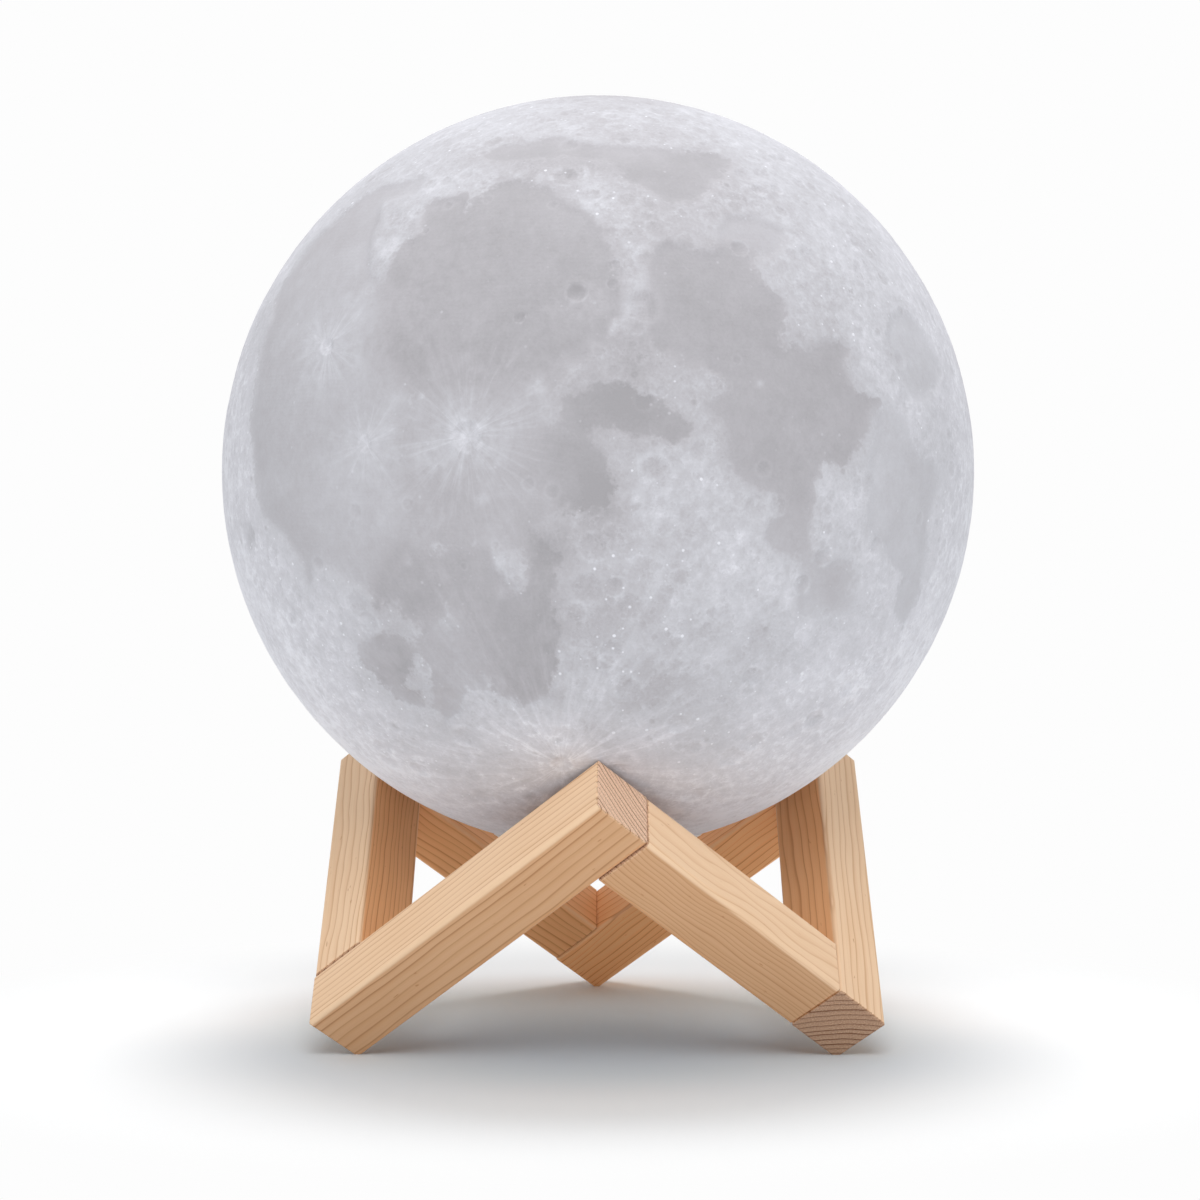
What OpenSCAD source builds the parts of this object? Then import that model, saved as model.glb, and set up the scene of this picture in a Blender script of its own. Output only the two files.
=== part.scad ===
// Moon lamp: a hollow printed moon globe, with its light unit, resting on a zigzag ring of six pine bars.
// Millimetres, +Z up. The origin is on the floor, on the upright axis of the stand and the globe.

/* [Globe] */
// Diameter of the globe across its highlands
globe_d = 150; // [130:1:170]
// Thickness of the printed shade
shade_wall = 2.2; // [1.8:0.1:3]
// How far the floors of the seas lie below the highlands
sea_depth = 0.4; // [0.2:0.05:0.6]
// How far a crater's rim stands above the highlands
rim_height = 0.3; // [0.1:0.05:0.4]
// How far a crater's floor lies below the highlands
crater_depth = 0.8; // [0.5:0.05:1]
// Diameter of the round opening under the globe
opening_d = 42; // [41:0.5:46]

/* [Stand] */
// Side of the cube whose edges the ring of bars follows, and length of its two longest bars
ring_side = 78; // [70:1:88]
// Side of a bar's square section
bar_side = 13; // [11:0.5:15]
// Radius on the long edges of a bar
bar_edge_r = 1; // [0.5:0.1:1.6]
// Radius on the edges of a bar's sawn ends
bar_end_r = 0.5; // [0.2:0.1:0.8]
// Depth of the small flat sanded on the eased lowest corner of each foot
foot_flat = 0.5; // [0.3:0.1:1]
// Diameter of the dowels hidden in the butt joints
dowel_d = 5; // [3:0.5:6]
// Length of a dowel
dowel_len = 16; // [12:1:18]
// Glue space beyond each end of a dowel
dowel_end_gap = 0.6; // [0.2:0.1:1]
// Air between the globe and each peak that it rests on
seat_gap = 0.15; // [0.1:0.05:0.3]

/* [Base cup] */
// How far the cup's face stands out of the edge of the opening
face_proud = 0.4; // [0.2:0.1:0.8]
// Thickness of the cup's wall
cup_wall = 2; // [1.6:0.1:2.4]
// Thickness of the cup's floor
cup_floor = 2.6; // [2.2:0.1:3]
// Height of the cup from its face to its rim
cup_h = 17; // [16.5:0.5:20]
// Distance from the edge of the cup's face to the trim ring
trim_edge = 0.7; // [0.5:0.1:1.2]
// Width of the trim ring
trim_w = 3; // [2.4:0.1:3.4]
// Depth of the trim ring's seat in the cup's face
trim_seat = 1; // [0.8:0.1:1.2]
// How far the trim ring stands below the cup's face
trim_proud = 0.8; // [0.5:0.1:1.2]

/* [Button] */
// Diameter of the push button
button_d = 9; // [7:0.5:9.5]
// Gap around the button in the floor
button_gap = 0.2; // [0.15:0.05:0.3]
// How far the button stands out of the floor
button_proud = 1.2; // [1:0.1:1.6]
// Travel of the button
button_travel = 0.8; // [0.4:0.1:1]
// Width of the lip that keeps the button in
button_lip = 1.2; // [0.8:0.1:1.4]
// Thickness of that lip
button_lip_t = 1.1; // [0.8:0.1:1.4]
// Side of the square switch
switch_side = 6; // [6:0.1:8]
// Height of the switch under the board
switch_h = 4; // [3.6:0.1:4.4]
// Diameter of the switch's plunger
plunger_d = 3.4; // [3:0.1:3.8]

/* [Board and inlet] */
// Height of the control board's underside above the cup's face
board_z = 9.6; // [9.4:0.1:10.2]
// Thickness of the control board
board_t = 1.6; // [1:0.1:1.8]
// Gap between the control board and the cup's wall
board_gap = 0.5; // [0.3:0.1:0.8]
// Width of the charging inlet's metal shell
inlet_w = 8.9; // [8:0.1:9.4]
// Height of that shell's mouth
inlet_h = 3.2; // [3:0.1:3.6]
// Thickness of that shell
inlet_t = 0.3; // [0.2:0.05:0.4]
// Distance from the axis to the middle of the inlet
inlet_y = 11.6; // [11.2:0.1:12]
// How far the inlet's mouth lies inside the cup's face
inlet_recess = 0.4; // [0.2:0.1:0.8]
// Diameter of the charge light's pipe
pipe_d = 2.6; // [2:0.1:3]
// Distance from the axis to the charge light's pipe
pipe_y = 9; // [8.8:0.1:9.4]

/* [Light tower] */
// Diameter of the battery cell
cell_d = 14.2; // [13:0.1:16]
// Length of the battery cell
cell_len = 50; // [44:1:56]
// Gap around the cell
cell_gap = 0.4; // [0.2:0.1:0.6]
// Thickness of the tower's tube
tower_wall = 2.4; // [2.2:0.1:3]
// Thickness of the tower's lid on the cup
lid_t = 2; // [1.6:0.1:2.4]
// Radius at which the three clamping screws stand
post_r = 14.4; // [14.2:0.1:14.8]
// Diameter of the posts and legs that the screws pass through
post_d = 5; // [4.6:0.1:5.6]
// Diameter of the light board
light_board_d = 30; // [29:0.5:34]
// Side of a light chip
chip_side = 5; // [4:0.1:5.2]
// Diameter of the insulated leads
lead_d = 1.2; // [1:0.1:1.4]

/* [Hidden] */

$fn = 72;
globe_facets = 180;   // facets round the globe and its seas
crater_facets = 60;   // facets round a crater
rim_facets = 32;      // facets round the section of a rim
eps = 0.01;           // overrun of a cut past a face

// The globe
globe_r = globe_d / 2;
opening_r = opening_d / 2;
rim_spread = 0.3;     // a rim's round section grows by this share of the crater's radius
rim_root = 0.35;      // radius of the round section of the least rim
cut_over = 2;         // overrun of the seas' cutters past the globe

// The map: latitude, longitude and angular radius in degrees, with longitude 0 facing the front
// and east to the right, as on the near side of the Moon.
SEAS = [
  // Sea of Rains and its bay
  [29, -16, 14.5], [36, -24, 8], [34, -8, 7], [20, -17, 7], [41, -28, 4],
  // Ocean of Storms
  [18, -52, 12], [3, -49, 11.5], [31, -57, 7], [40, -57, 5], [46, -47, 3.5], [12, -38, 9],
  [25, -38, 7], [-6, -46, 8], [-3, -35, 7], [-13, -31, 6],
  // Known Sea, Sea of Clouds, Sea of Moisture and the marsh south of them
  [-15, -20, 6], [-25, -11, 8.5], [-15, -9, 5.5], [-26, -38, 6], [-35, -22, 3],
  // Central Bay and Sea of Vapours
  [2, -4, 5], [10, 3, 5.5], [16.5, -4, 3.5],
  // Sea of Serenity
  [23.5, 17, 10],
  // Sea of Tranquillity and its southern bays
  [11, 29, 9.5], [3, 26, 8], [9, 37, 6], [-7, 27, 4],
  // Sea of Nectar, Sea of Fertility and Sea of Crises
  [-14.7, 35, 4.3], [3, 48, 6], [-4, 51, 7], [-14, 52, 4], [17.3, 56, 7],
  // Sea of Cold, Lake of Dreams and the seas on the eastern edge
  [54, -24, 4.5], [55, -12, 4.5], [53, 0, 4.5], [50, 11, 4.5], [51, 22, 5], [37, 26, 5],
  [60, 67, 3], [9, 68, 2.5],
  // The far side: Moscow Sea, Eastern Sea, Sea of Cleverness and the great southern basin
  [27, 148, 5.5], [-19, -93, 5], [-34, 163, 5], [-36, -152, 4.5], [-50, 178, 5.5], [-44, -168, 4]
];

CRATERS = [
  // The rayed craters of the near side
  [6, -18.5, 2.2], [3.3, -34.5, 1.2], [18, -45, 1.3], [-44.5, -6.5, 1.5], [13.5, 15.5, 0.9],
  // Walled plains and rings of the north
  [46.7, -8.3, 1.9], [26, -4.3, 1.5], [30.5, 1.5, 0.9], [22.2, -12.5, 0.9], [47, 32.5, 1.5],
  [45, 38.5, 1.2], [54, 46, 1.9], [34, 23, 1.6], [66, -12, 2], [68, 22, 2.2], [62, -45, 2],
  // Rings of the equator and the edges
  [-9.5, -63.5, 2.8], [12, 8, 0.9], [-9, -1, 2.1], [-14.5, 2, 1.5], [-10, 33, 1.6], [-14, 30, 1.5],
  [-8.7, 43, 1.4], [1, 66, 2], [-27, 51, 2],
  // Rings of the southern highlands
  [-21, -36.5, 1.8], [-44, -48, 2.1], [-48, -41, 1.8], [-30, 5, 1.9], [-24, 2, 1.8], [-36, 14, 1.8],
  [-28, 25, 1.7], [-40, 30, 2], [-52, 24, 2], [-58, -14, 2.8], [-60, 12, 2.2], [-36, 42, 1.8],
  [-54, -28, 1.9],
  // The far side
  [6, 141, 4.2], [-20, 149, 4.4], [2, -129, 5.4], [-4, -158, 5.2], [-20, 129, 3], [40, -130, 2.6],
  [55, 160, 3.2], [58, -147, 2.8], [30, 115, 2.4], [-8, 112, 3.2], [20, -105, 2.4], [-52, -98, 2.6],
  [-56, 133, 3.2], [16, -172, 2.4], [38, -172, 2.6], [52, 96, 2.6], [-38, 98, 2.6], [66, -100, 2.4],
  [-12, -108, 2.2], [10, 172, 2.6], [-60, -130, 2.2]
];

// The stand is drawn along the three edges of a cube and then stood on the cube's corner.
corner_tilt = [45, -atan(1 / sqrt(2)), -150];
edge_ease = bar_edge_r * (1 - 1 / sqrt(2));     // what the round long edge takes off each of its faces
end_ease = bar_end_r - sqrt(pow(bar_end_r, 2) - pow(max(bar_end_r - edge_ease, 0), 2));
floor_drop = (ring_side - bar_side + 2 * edge_ease + end_ease) / sqrt(3) + foot_flat;
near = bar_side / 2;                  // centre line of a bar on the cube's near side
far = ring_side - bar_side / 2;       // centre line of a bar on the cube's far side
inner = ring_side - bar_side;         // joint face of a bar on the cube's far side
dowel_bore_d = dowel_d - 0.04;        // a dowel is squeezed into its bore
bore_len = dowel_len + 2 * dowel_end_gap;

// Each joint: where the dowel's middle is, and the turn that lays it along the butting bar.
along_u = [0, 90, 0];
along_v = [90, 0, 0];
along_w = [0, 0, 0];
JOINTS = [
  [[inner, far, near], along_u],      // front peak
  [[bar_side, far, near], along_u],   // right foot
  [[near, inner, far], along_v],      // right peak
  [[bar_side, near, far], along_u],   // back foot
  [[inner, near, far], along_u],      // left peak
  [[far, near, bar_side], along_w]    // left foot
];

// The globe rests on the eased top corner of each peak's long bar. Its centre is t along each edge of
// the cube, and the corner is followed down from the bar's top face through its two round edges.
function round_reach(edge, r, down) = edge - r + sqrt(2 * r * down - pow(down, 2));
function corner_reach(t, down) =
  norm([t - max(inner, min(t, round_reach(ring_side, bar_edge_r, down))),
        t - min(t, round_reach(ring_side, bar_end_r, down)),
        t - bar_side + down]);
function peak_reach(t) = min([for (down = [0:bar_end_r / 200:bar_end_r]) corner_reach(t, down)]);
function seat_at(low, high, steps) =
  let (mid = (low + high) / 2)
  steps == 0 ? mid
  : peak_reach(mid) > globe_r + seat_gap ? seat_at(low, mid, steps - 1)
  : seat_at(mid, high, steps - 1);
globe_z = seat_at(bar_side, 3 * ring_side, 40) * sqrt(3) - floor_drop;

// The base unit is drawn upwards from the cup's face.
base_z = globe_z - sqrt(pow(globe_r, 2) - pow(opening_r, 2)) - face_proud;
glue_film = 0.02;                     // glue between the cup and the opening
cup_r = opening_r - glue_film;
cup_inner_r = cup_r - cup_wall;
post_angles = [30, 150, 270];
screw_d = 2;
screw_pilot_d = 1.8;
screw_pass_d = 2.4;
screw_head_d = 3.8;
screw_head_t = 1.5;
screw_bite = 5;                       // how far a clamping screw goes into its post
trim_clear = 0.1;
trim_mid_r = cup_r - trim_edge - trim_w / 2;
trim_t = trim_seat + trim_proud;
trim_soft_r = 0.6;

// Button, switch and charge light
lip_r = button_d / 2 + button_lip;
button_top = board_z - switch_h - button_travel - 0.3;   // where the button meets the plunger
nub_d = plunger_d;
plunger_clear = 0.1;
plunger_in = 1.6;                     // how far the plunger reaches into the switch at rest
led_h = 0.8;
pipe_clear = 0.1;
pipe_head_d = pipe_d + 1.4;
pipe_head_t = 0.9;
led_air = 0.3;
inlet_web = 1;                        // closed end of the charging inlet's shell, on the board

// Board and sockets
board_r = cup_inner_r - board_gap;
board_top = board_z + board_t;
socket_size = [6, 4.4, 4.6];
lead_pitch = 2.4;
lead_y = 9.6;                         // distance from the axis to the light leads

// Tower
lid_top = cup_h + lid_t;
tube_inner_r = cell_d / 2 + cell_gap;
tube_r = tube_inner_r + tower_wall;
head_t = 4;                           // thickness of the tower's head under the light board
head_air = 1.5;                       // air over the cell
tower_top = lid_top + cell_len + head_air;
head_r = light_board_d / 2 - 1;
rib_t = 1.6;
rib_h = 7;
rib_out = 3.2;
groove_w = lead_pitch + lead_d + 0.8;
groove_in = lead_y - lead_d / 2 - 0.3;
light_board_t = 1.6;
light_board_top = tower_top + light_board_t;
light_screw_r = light_board_d / 2 - 3;
chip_h = 1.4;
chip_ring_r = 8;
pad_y = 4.6;                          // where the light leads are soldered down
lead_r = lead_d / 2;
lead_bend_r = 1.4;

// ---------------------------------------------------------------- shapes that repeat

function on_globe(place, r) =
  r * [cos(place[0]) * sin(place[1]), -cos(place[0]) * cos(place[1]), sin(place[0])];

module at_globe() {
  translate([0, 0, globe_z]) children();
}

module at_base() {
  translate([0, 0, base_z]) children();
}

module at_posts() {
  for (a = post_angles) rotate(a) translate([post_r, 0, 0]) children();
}

// A rectangle with round corners, centred
module eased_rect(w, h, r) {
  square([w - 2 * r, h], center = true);
  square([w, h - 2 * r], center = true);
  for (x = [-1, 1], y = [-1, 1])
    translate([x * (w / 2 - r), y * (h / 2 - r)]) circle(r);
}

// A slot with round ends, centred
module slot(w, h) {
  square([w - h, h], center = true);
  for (x = [-1, 1]) translate([x * (w - h) / 2, 0]) circle(h / 2);
}

// A straight square bar along Z: long edges and sawn ends are eased by their own radii.
module sawn_bar(len) {
  intersection() {
    linear_extrude(len, center = true) eased_rect(bar_side, bar_side, bar_edge_r);
    rotate([90, 0, 0])
      linear_extrude(2 * bar_side, center = true) eased_rect(bar_side, len, bar_end_r);
    rotate([90, 0, 90])
      linear_extrude(2 * bar_side, center = true) eased_rect(bar_side, len, bar_end_r);
  }
}

module on_corner() {
  translate([0, 0, -floor_drop]) rotate(corner_tilt) children();
}

module dowel_bores() {
  for (j = JOINTS)
    translate(j[0]) rotate(j[1]) cylinder(h = bore_len, d = dowel_bore_d, center = true);
}

// One bar of the ring: its middle and turn in the cube, its length, its bores and its foot's flat
module ring_bar(middle, turn, len) {
  color("#e3c09a") difference() {
    on_corner() difference() {
      translate(middle) rotate(turn) sawn_bar(len);
      dowel_bores();
    }
    translate([0, 0, -ring_side / 2]) cube([3 * ring_side, 3 * ring_side, ring_side], center = true);
  }
}

// ---------------------------------------------------------------- stand

module bar_front_left() {
  ring_bar([far, ring_side / 2, near], along_v, ring_side);
}

module bar_front_right() {
  ring_bar([ring_side / 2, far, near], along_u, ring_side - 2 * bar_side);
}

module bar_right() {
  ring_bar([near, far, ring_side / 2], along_w, ring_side);
}

module bar_back_right() {
  ring_bar([near, inner / 2, far], along_v, inner);
}

module bar_back_left() {
  ring_bar([ring_side / 2, near, far], along_u, ring_side - 2 * bar_side);
}

module bar_left() {
  ring_bar([far, near, (ring_side + bar_side) / 2], along_w, inner);
}

module dowels() {
  dowel_edge = 0.5;
  color("#d2aa7a") on_corner() for (j = JOINTS)
    translate(j[0]) rotate(j[1]) {
      cylinder(h = dowel_len - 2 * dowel_edge, d = dowel_d, center = true);
      for (end = [0, 1]) mirror([0, 0, end])
        translate([0, 0, dowel_len / 2 - dowel_edge])
          cylinder(h = dowel_edge, d1 = dowel_d, d2 = dowel_d - 2 * dowel_edge);
    }
}

// ---------------------------------------------------------------- globe

// What a sea takes off the highlands: a cone from the globe's centre, outside the seas' floor
module sea_cut(sea) {
  top = globe_r + cut_over;
  difference() {
    rotate([0, 0, sea[1]]) rotate([90 - sea[0], 0, 0])
      cylinder(h = top, r1 = 0, r2 = top * tan(sea[2]), $fn = globe_facets);
    sphere(globe_r - sea_depth, $fn = globe_facets);
  }
}

// A ring-shaped rim, rooted in the wall
module rim_ring(crater) {
  reach = globe_r * sin(crater[2]);
  tube_r = rim_spread * reach + rim_root;
  rotate([0, 0, crater[1]]) rotate([90 - crater[0], 0, 0]) rotate_extrude($fn = crater_facets)
    translate([reach, globe_r * cos(crater[2]) + rim_height - tube_r]) circle(tube_r, $fn = rim_facets);
}

// The round dish inside the rim
module dish_cut(crater) {
  reach = globe_r * sin(crater[2]);
  dish_r = 1 / (2 * (crater_depth + rim_height / 2) / pow(reach, 2) - 1 / globe_r);
  translate(on_globe(crater, globe_r - crater_depth + dish_r)) sphere(dish_r, $fn = crater_facets);
}

module moon_shade() {
  color("#d7d7de") at_globe() difference() {
    union() {
      difference() {
        sphere(globe_r, $fn = globe_facets);
        for (sea = SEAS) sea_cut(sea);
      }
      for (crater = CRATERS) rim_ring(crater);
    }
    for (crater = CRATERS) dish_cut(crater);
    sphere(globe_r - shade_wall, $fn = globe_facets);
    translate([0, 0, -globe_r - cut_over]) cylinder(h = globe_r, r = opening_r);
  }
}

// ---------------------------------------------------------------- base cup and what it carries

module base_cup() {
  color("#f1f0ec") at_base() difference() {
    union() {
      difference() {
        cylinder(h = cup_h, r = cup_r);
        translate([0, 0, cup_floor]) cylinder(h = cup_h, r = cup_inner_r);
      }
      at_posts() cylinder(h = board_z, d = post_d);
    }
    at_posts() translate([0, 0, board_z - screw_bite]) cylinder(h = screw_bite + eps, d = screw_pilot_d);
    translate([0, 0, -eps]) difference() {
      cylinder(h = trim_seat + eps, r = trim_mid_r + trim_w / 2 + trim_clear);
      cylinder(h = trim_seat + 3 * eps, r = trim_mid_r - trim_w / 2 - trim_clear);
    }
    translate([0, 0, -eps]) cylinder(h = cup_floor + 2 * eps, d = button_d + 2 * button_gap);
    translate([0, inlet_y, -eps]) linear_extrude(cup_floor + 2 * eps)
      slot(inlet_w + 2 * trim_clear, inlet_h + 2 * trim_clear);
    translate([0, -pipe_y, -eps]) cylinder(h = cup_floor + 2 * eps, d = pipe_d + 2 * pipe_clear);
  }
}

module trim_ring() {
  color("#b9bcc0") at_base() rotate_extrude()
    translate([trim_mid_r, trim_seat - trim_t / 2]) eased_rect(trim_w, trim_t, trim_soft_r);
}

module push_button() {
  soft = 0.5;
  crown = button_d / 2;
  color("#f6f6f4") at_base() rotate_extrude() {
    translate([0, -button_proud]) square([crown - soft, button_proud + cup_floor]);
    translate([0, soft - button_proud]) square([crown, button_proud + cup_floor - soft]);
    intersection() {
      translate([crown - soft, soft - button_proud]) circle(soft);
      translate([0, -button_proud]) square([crown, 2 * soft]);
    }
    translate([0, cup_floor]) square([lip_r, button_lip_t]);
    square([nub_d / 2, button_top]);
  }
}

module switch_plunger() {
  color("#2f3033") at_base() translate([0, 0, button_top])
    cylinder(h = board_z - switch_h - button_top + plunger_in, d = plunger_d);
}

module switch_body() {
  color("#4a4b4e") at_base() translate([0, 0, board_z - switch_h]) difference() {
    translate([-switch_side / 2, -switch_side / 2, 0]) cube([switch_side, switch_side, switch_h]);
    translate([0, 0, -eps])
      cylinder(h = plunger_in + button_travel + 0.2, d = plunger_d + 2 * plunger_clear);
  }
}

module inlet_shell() {
  color("#c9ccd0") at_base() translate([0, inlet_y, inlet_recess]) difference() {
    linear_extrude(board_z - inlet_recess) slot(inlet_w, inlet_h);
    translate([0, 0, -eps]) linear_extrude(board_z - inlet_recess - inlet_web + eps)
      slot(inlet_w - 2 * inlet_t, inlet_h - 2 * inlet_t);
  }
}

module inlet_tongue() {
  tongue_w = inlet_w - 2.4;
  tongue_t = 0.7;
  tongue_in = 0.7;
  color("#1d1e20") at_base() translate([-tongue_w / 2, inlet_y - tongue_t / 2, inlet_recess + tongue_in])
    cube([tongue_w, tongue_t, board_z - inlet_web - inlet_recess - tongue_in]);
}

module light_pipe() {
  color("#dfe6ea") at_base() translate([0, -pipe_y, 0]) {
    cylinder(h = board_z - led_h - led_air, d = pipe_d);
    translate([0, 0, cup_floor]) cylinder(h = pipe_head_t, d = pipe_head_d);
  }
}

module charge_light() {
  led = [1.6, 0.8];
  color("#f3e9a8") at_base() translate([-led[0] / 2, -pipe_y - led[1] / 2, board_z - led_h])
    cube([led[0], led[1], led_h]);
}

module control_board() {
  color("#2c6b45") at_base() translate([0, 0, board_z]) difference() {
    cylinder(h = board_t, r = board_r);
    at_posts() translate([0, 0, -eps]) cylinder(h = board_t + 2 * eps, d = screw_pass_d);
  }
}

// The charge controller, a coil and three capacitors
module board_parts() {
  color("#3a3b3e") at_base() translate([0, 0, board_top]) {
    translate([-11.5, -4.5, 0]) cube([4, 5, 1.5]);
    translate([9, -4, 0]) cylinder(h = 3, d = 5.6);
    for (i = [0:2]) translate([-5 + 4 * i, -9.5, 0]) cube([2.4, 1.6, 1.2]);
  }
}

module lead_sockets() {
  color("#efece2") at_base() translate([0, 0, board_top])
    for (y = [0, lead_y]) translate([-socket_size[0] / 2, y - socket_size[1] / 2, 0]) cube(socket_size);
}

// ---------------------------------------------------------------- light tower

module light_tower() {
  color("#eceae4") at_base() difference() {
    union() {
      translate([0, 0, cup_h]) cylinder(h = lid_t, r = cup_r);
      translate([0, 0, cup_h]) cylinder(h = tower_top - cup_h, r = tube_r);
      translate([0, 0, tower_top - head_t]) cylinder(h = head_t, r = head_r);
      at_posts() translate([0, 0, board_top]) cylinder(h = cup_h - board_top + eps, d = post_d);
      for (a = [0:60:300]) rotate(a + 30) translate([tube_r - rib_t, -rib_t / 2, 0]) {
        translate([0, 0, lid_top - eps]) rotate([90, 0, 0]) mirror([0, 0, 1]) linear_extrude(rib_t)
          polygon([[0, 0], [rib_t + rib_out, 0], [rib_t, rib_h], [0, rib_h]]);
        translate([0, 0, tower_top - head_t + eps]) rotate([90, 0, 0]) mirror([0, 0, 1])
          linear_extrude(rib_t)
            polygon([[0, 0], [rib_t + rib_out - 1, 0], [rib_t, -rib_h], [0, -rib_h]]);
      }
    }
    translate([0, 0, lid_top]) cylinder(h = cell_len + head_air + eps, r = tube_inner_r);
    translate([0, 0, cup_h - eps]) cylinder(h = lid_t + 2 * eps, d = lead_pitch + 2 * lead_d + 1);
    at_posts() translate([0, 0, board_top - eps])
      cylinder(h = lid_top - board_top + 2 * eps, d = screw_pass_d);
    at_posts() translate([0, 0, lid_top]) cylinder(h = rib_h, d = screw_head_d + 0.6);
    translate([-groove_w / 2, groove_in, cup_h - eps])
      cube([groove_w, head_r, tower_top - cup_h + 2 * eps]);
    for (x = [-1, 1]) translate([x * light_screw_r, 0, tower_top - head_t + 0.6])
      cylinder(h = head_t, d = screw_pilot_d);
  }
}

// A pan-headed screw standing on Z = 0, with a cross recess
module pan_screw(len) {
  difference() {
    union() {
      translate([0, 0, -len]) cylinder(h = len + eps, d = screw_d);
      cylinder(h = screw_head_t, d = screw_head_d);
    }
    for (turn = [0, 90]) rotate(turn) translate([-1.1, -0.25, screw_head_t - 0.8]) cube([2.2, 0.5, 1]);
  }
}

module tower_screws() {
  color("#a8abaf") at_base() at_posts() translate([0, 0, lid_top])
    pan_screw(lid_top - board_z + screw_bite - 0.5);
}

module battery_cell() {
  button_cap = 0.8;
  color("#3f7fb8") at_base() translate([0, 0, lid_top]) {
    cylinder(h = cell_len - button_cap, d = cell_d);
    translate([0, 0, cell_len - button_cap - eps]) cylinder(h = button_cap + eps, d = cell_d / 3);
  }
}

module battery_leads() {
  lead_from = board_top + socket_size[2];
  color("#b03a32") at_base() for (x = [-1, 1]) translate([x * lead_pitch / 2, 0, lead_from])
    cylinder(h = lid_top - lead_from, d = lead_d);
}

module light_board() {
  color("#dfe1e3") at_base() translate([0, 0, tower_top]) difference() {
    cylinder(h = light_board_t, d = light_board_d);
    for (x = [-1, 1]) translate([x * light_screw_r, 0, -eps])
      cylinder(h = light_board_t + 2 * eps, d = screw_pass_d);
    translate([-groove_w / 2, groove_in - 0.5, -eps])
      cube([groove_w, light_board_d, light_board_t + 2 * eps]);
  }
}

module light_chips() {
  color("#f4efce") at_base() translate([0, 0, light_board_top]) {
    light_chip();
    for (a = [45:90:315]) rotate(a) translate([chip_ring_r, 0, 0]) light_chip();
  }
}

module light_chip() {
  difference() {
    translate([-chip_side / 2, -chip_side / 2, 0]) cube([chip_side, chip_side, chip_h]);
    translate([0, 0, chip_h - 0.4]) cylinder(h = 1, d = chip_side - 1);
  }
}

// Two leads rise from their socket in the tower's groove, bend over the board's edge and end on pads.
module light_leads() {
  from = board_top + socket_size[2];
  over = light_board_top + lead_r;
  rise = over - lead_bend_r - from;
  run = lead_y - lead_bend_r - pad_y;
  color("#d8d6cf") at_base() for (x = [-1, 1]) translate([x * lead_pitch / 2, lead_y, from]) {
    cylinder(h = rise, r = lead_r);
    translate([0, -lead_bend_r, rise]) rotate([90, 0, 90])
      rotate_extrude(angle = 90) translate([lead_bend_r, 0]) circle(lead_r);
    translate([0, -lead_bend_r, rise + lead_bend_r]) rotate([90, 0, 0]) cylinder(h = run, r = lead_r);
  }
}

module light_board_screws() {
  color("#a8abaf") at_base() for (x = [-1, 1])
    translate([x * light_screw_r, 0, light_board_top]) pan_screw(light_board_t + head_t - 1);
}

bar_front_left();
bar_front_right();
bar_right();
bar_back_right();
bar_back_left();
bar_left();
dowels();
moon_shade();
base_cup();
trim_ring();
push_button();
switch_plunger();
switch_body();
control_board();
board_parts();
lead_sockets();
inlet_shell();
inlet_tongue();
light_pipe();
charge_light();
battery_cell();
battery_leads();
light_tower();
tower_screws();
light_board();
light_chips();
light_leads();
light_board_screws();
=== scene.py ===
# %% [markdown]
# # A moon lamp: a printed moon globe resting on a zigzag ring of six pine bars
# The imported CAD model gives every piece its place. This script gives the pieces their looks: a relief
# skin for the globe, wood that was cut from a ring-grown tree, and moulded, plated and printed finishes
# for the light unit. The bars, the cup and the small parts already have their true shape in the frame,
# so they keep it and only get a material. The globe's skin is made again here, with much finer relief.

import math

import bmesh
import bpy
import numpy as np
from mathutils import Euler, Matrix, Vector


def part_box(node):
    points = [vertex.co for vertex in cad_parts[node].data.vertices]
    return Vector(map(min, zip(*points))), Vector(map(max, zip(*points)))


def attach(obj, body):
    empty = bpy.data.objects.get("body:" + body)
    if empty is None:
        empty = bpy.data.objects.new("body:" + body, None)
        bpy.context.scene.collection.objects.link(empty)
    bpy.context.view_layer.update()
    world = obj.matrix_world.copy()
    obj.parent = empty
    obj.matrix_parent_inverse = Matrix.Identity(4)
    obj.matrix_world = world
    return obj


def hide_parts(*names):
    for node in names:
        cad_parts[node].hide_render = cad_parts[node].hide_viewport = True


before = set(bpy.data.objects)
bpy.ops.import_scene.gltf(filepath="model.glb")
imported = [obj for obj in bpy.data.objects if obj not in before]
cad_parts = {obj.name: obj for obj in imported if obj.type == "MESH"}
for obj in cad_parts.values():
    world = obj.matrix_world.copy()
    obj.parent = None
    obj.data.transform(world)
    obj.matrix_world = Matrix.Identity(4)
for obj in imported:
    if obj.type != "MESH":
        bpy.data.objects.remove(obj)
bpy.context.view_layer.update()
MM = 0.001
X, Y, Z = (1, 0, 0), (0, 1, 0), (0, 0, 1)

# %% [markdown]
# ## Writing shader maths as plain sums
# A finish is a net of small nodes, and a net is hard to read as code. So one class wraps a socket and
# overloads the operators: `1 - mask * 0.5` then adds its Math nodes by itself. Every other node comes
# from one method, `Net.node`, which takes the type, the settings and what goes into the sockets.

# %% A socket that can be added, multiplied and compared


def both_ways(operation):
    """An operator with the socket before its sign, and the same one with the socket after it."""
    return (lambda value, other: value.net.maths(operation, value, other),
            lambda value, other: value.net.maths(operation, other, value))


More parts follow.
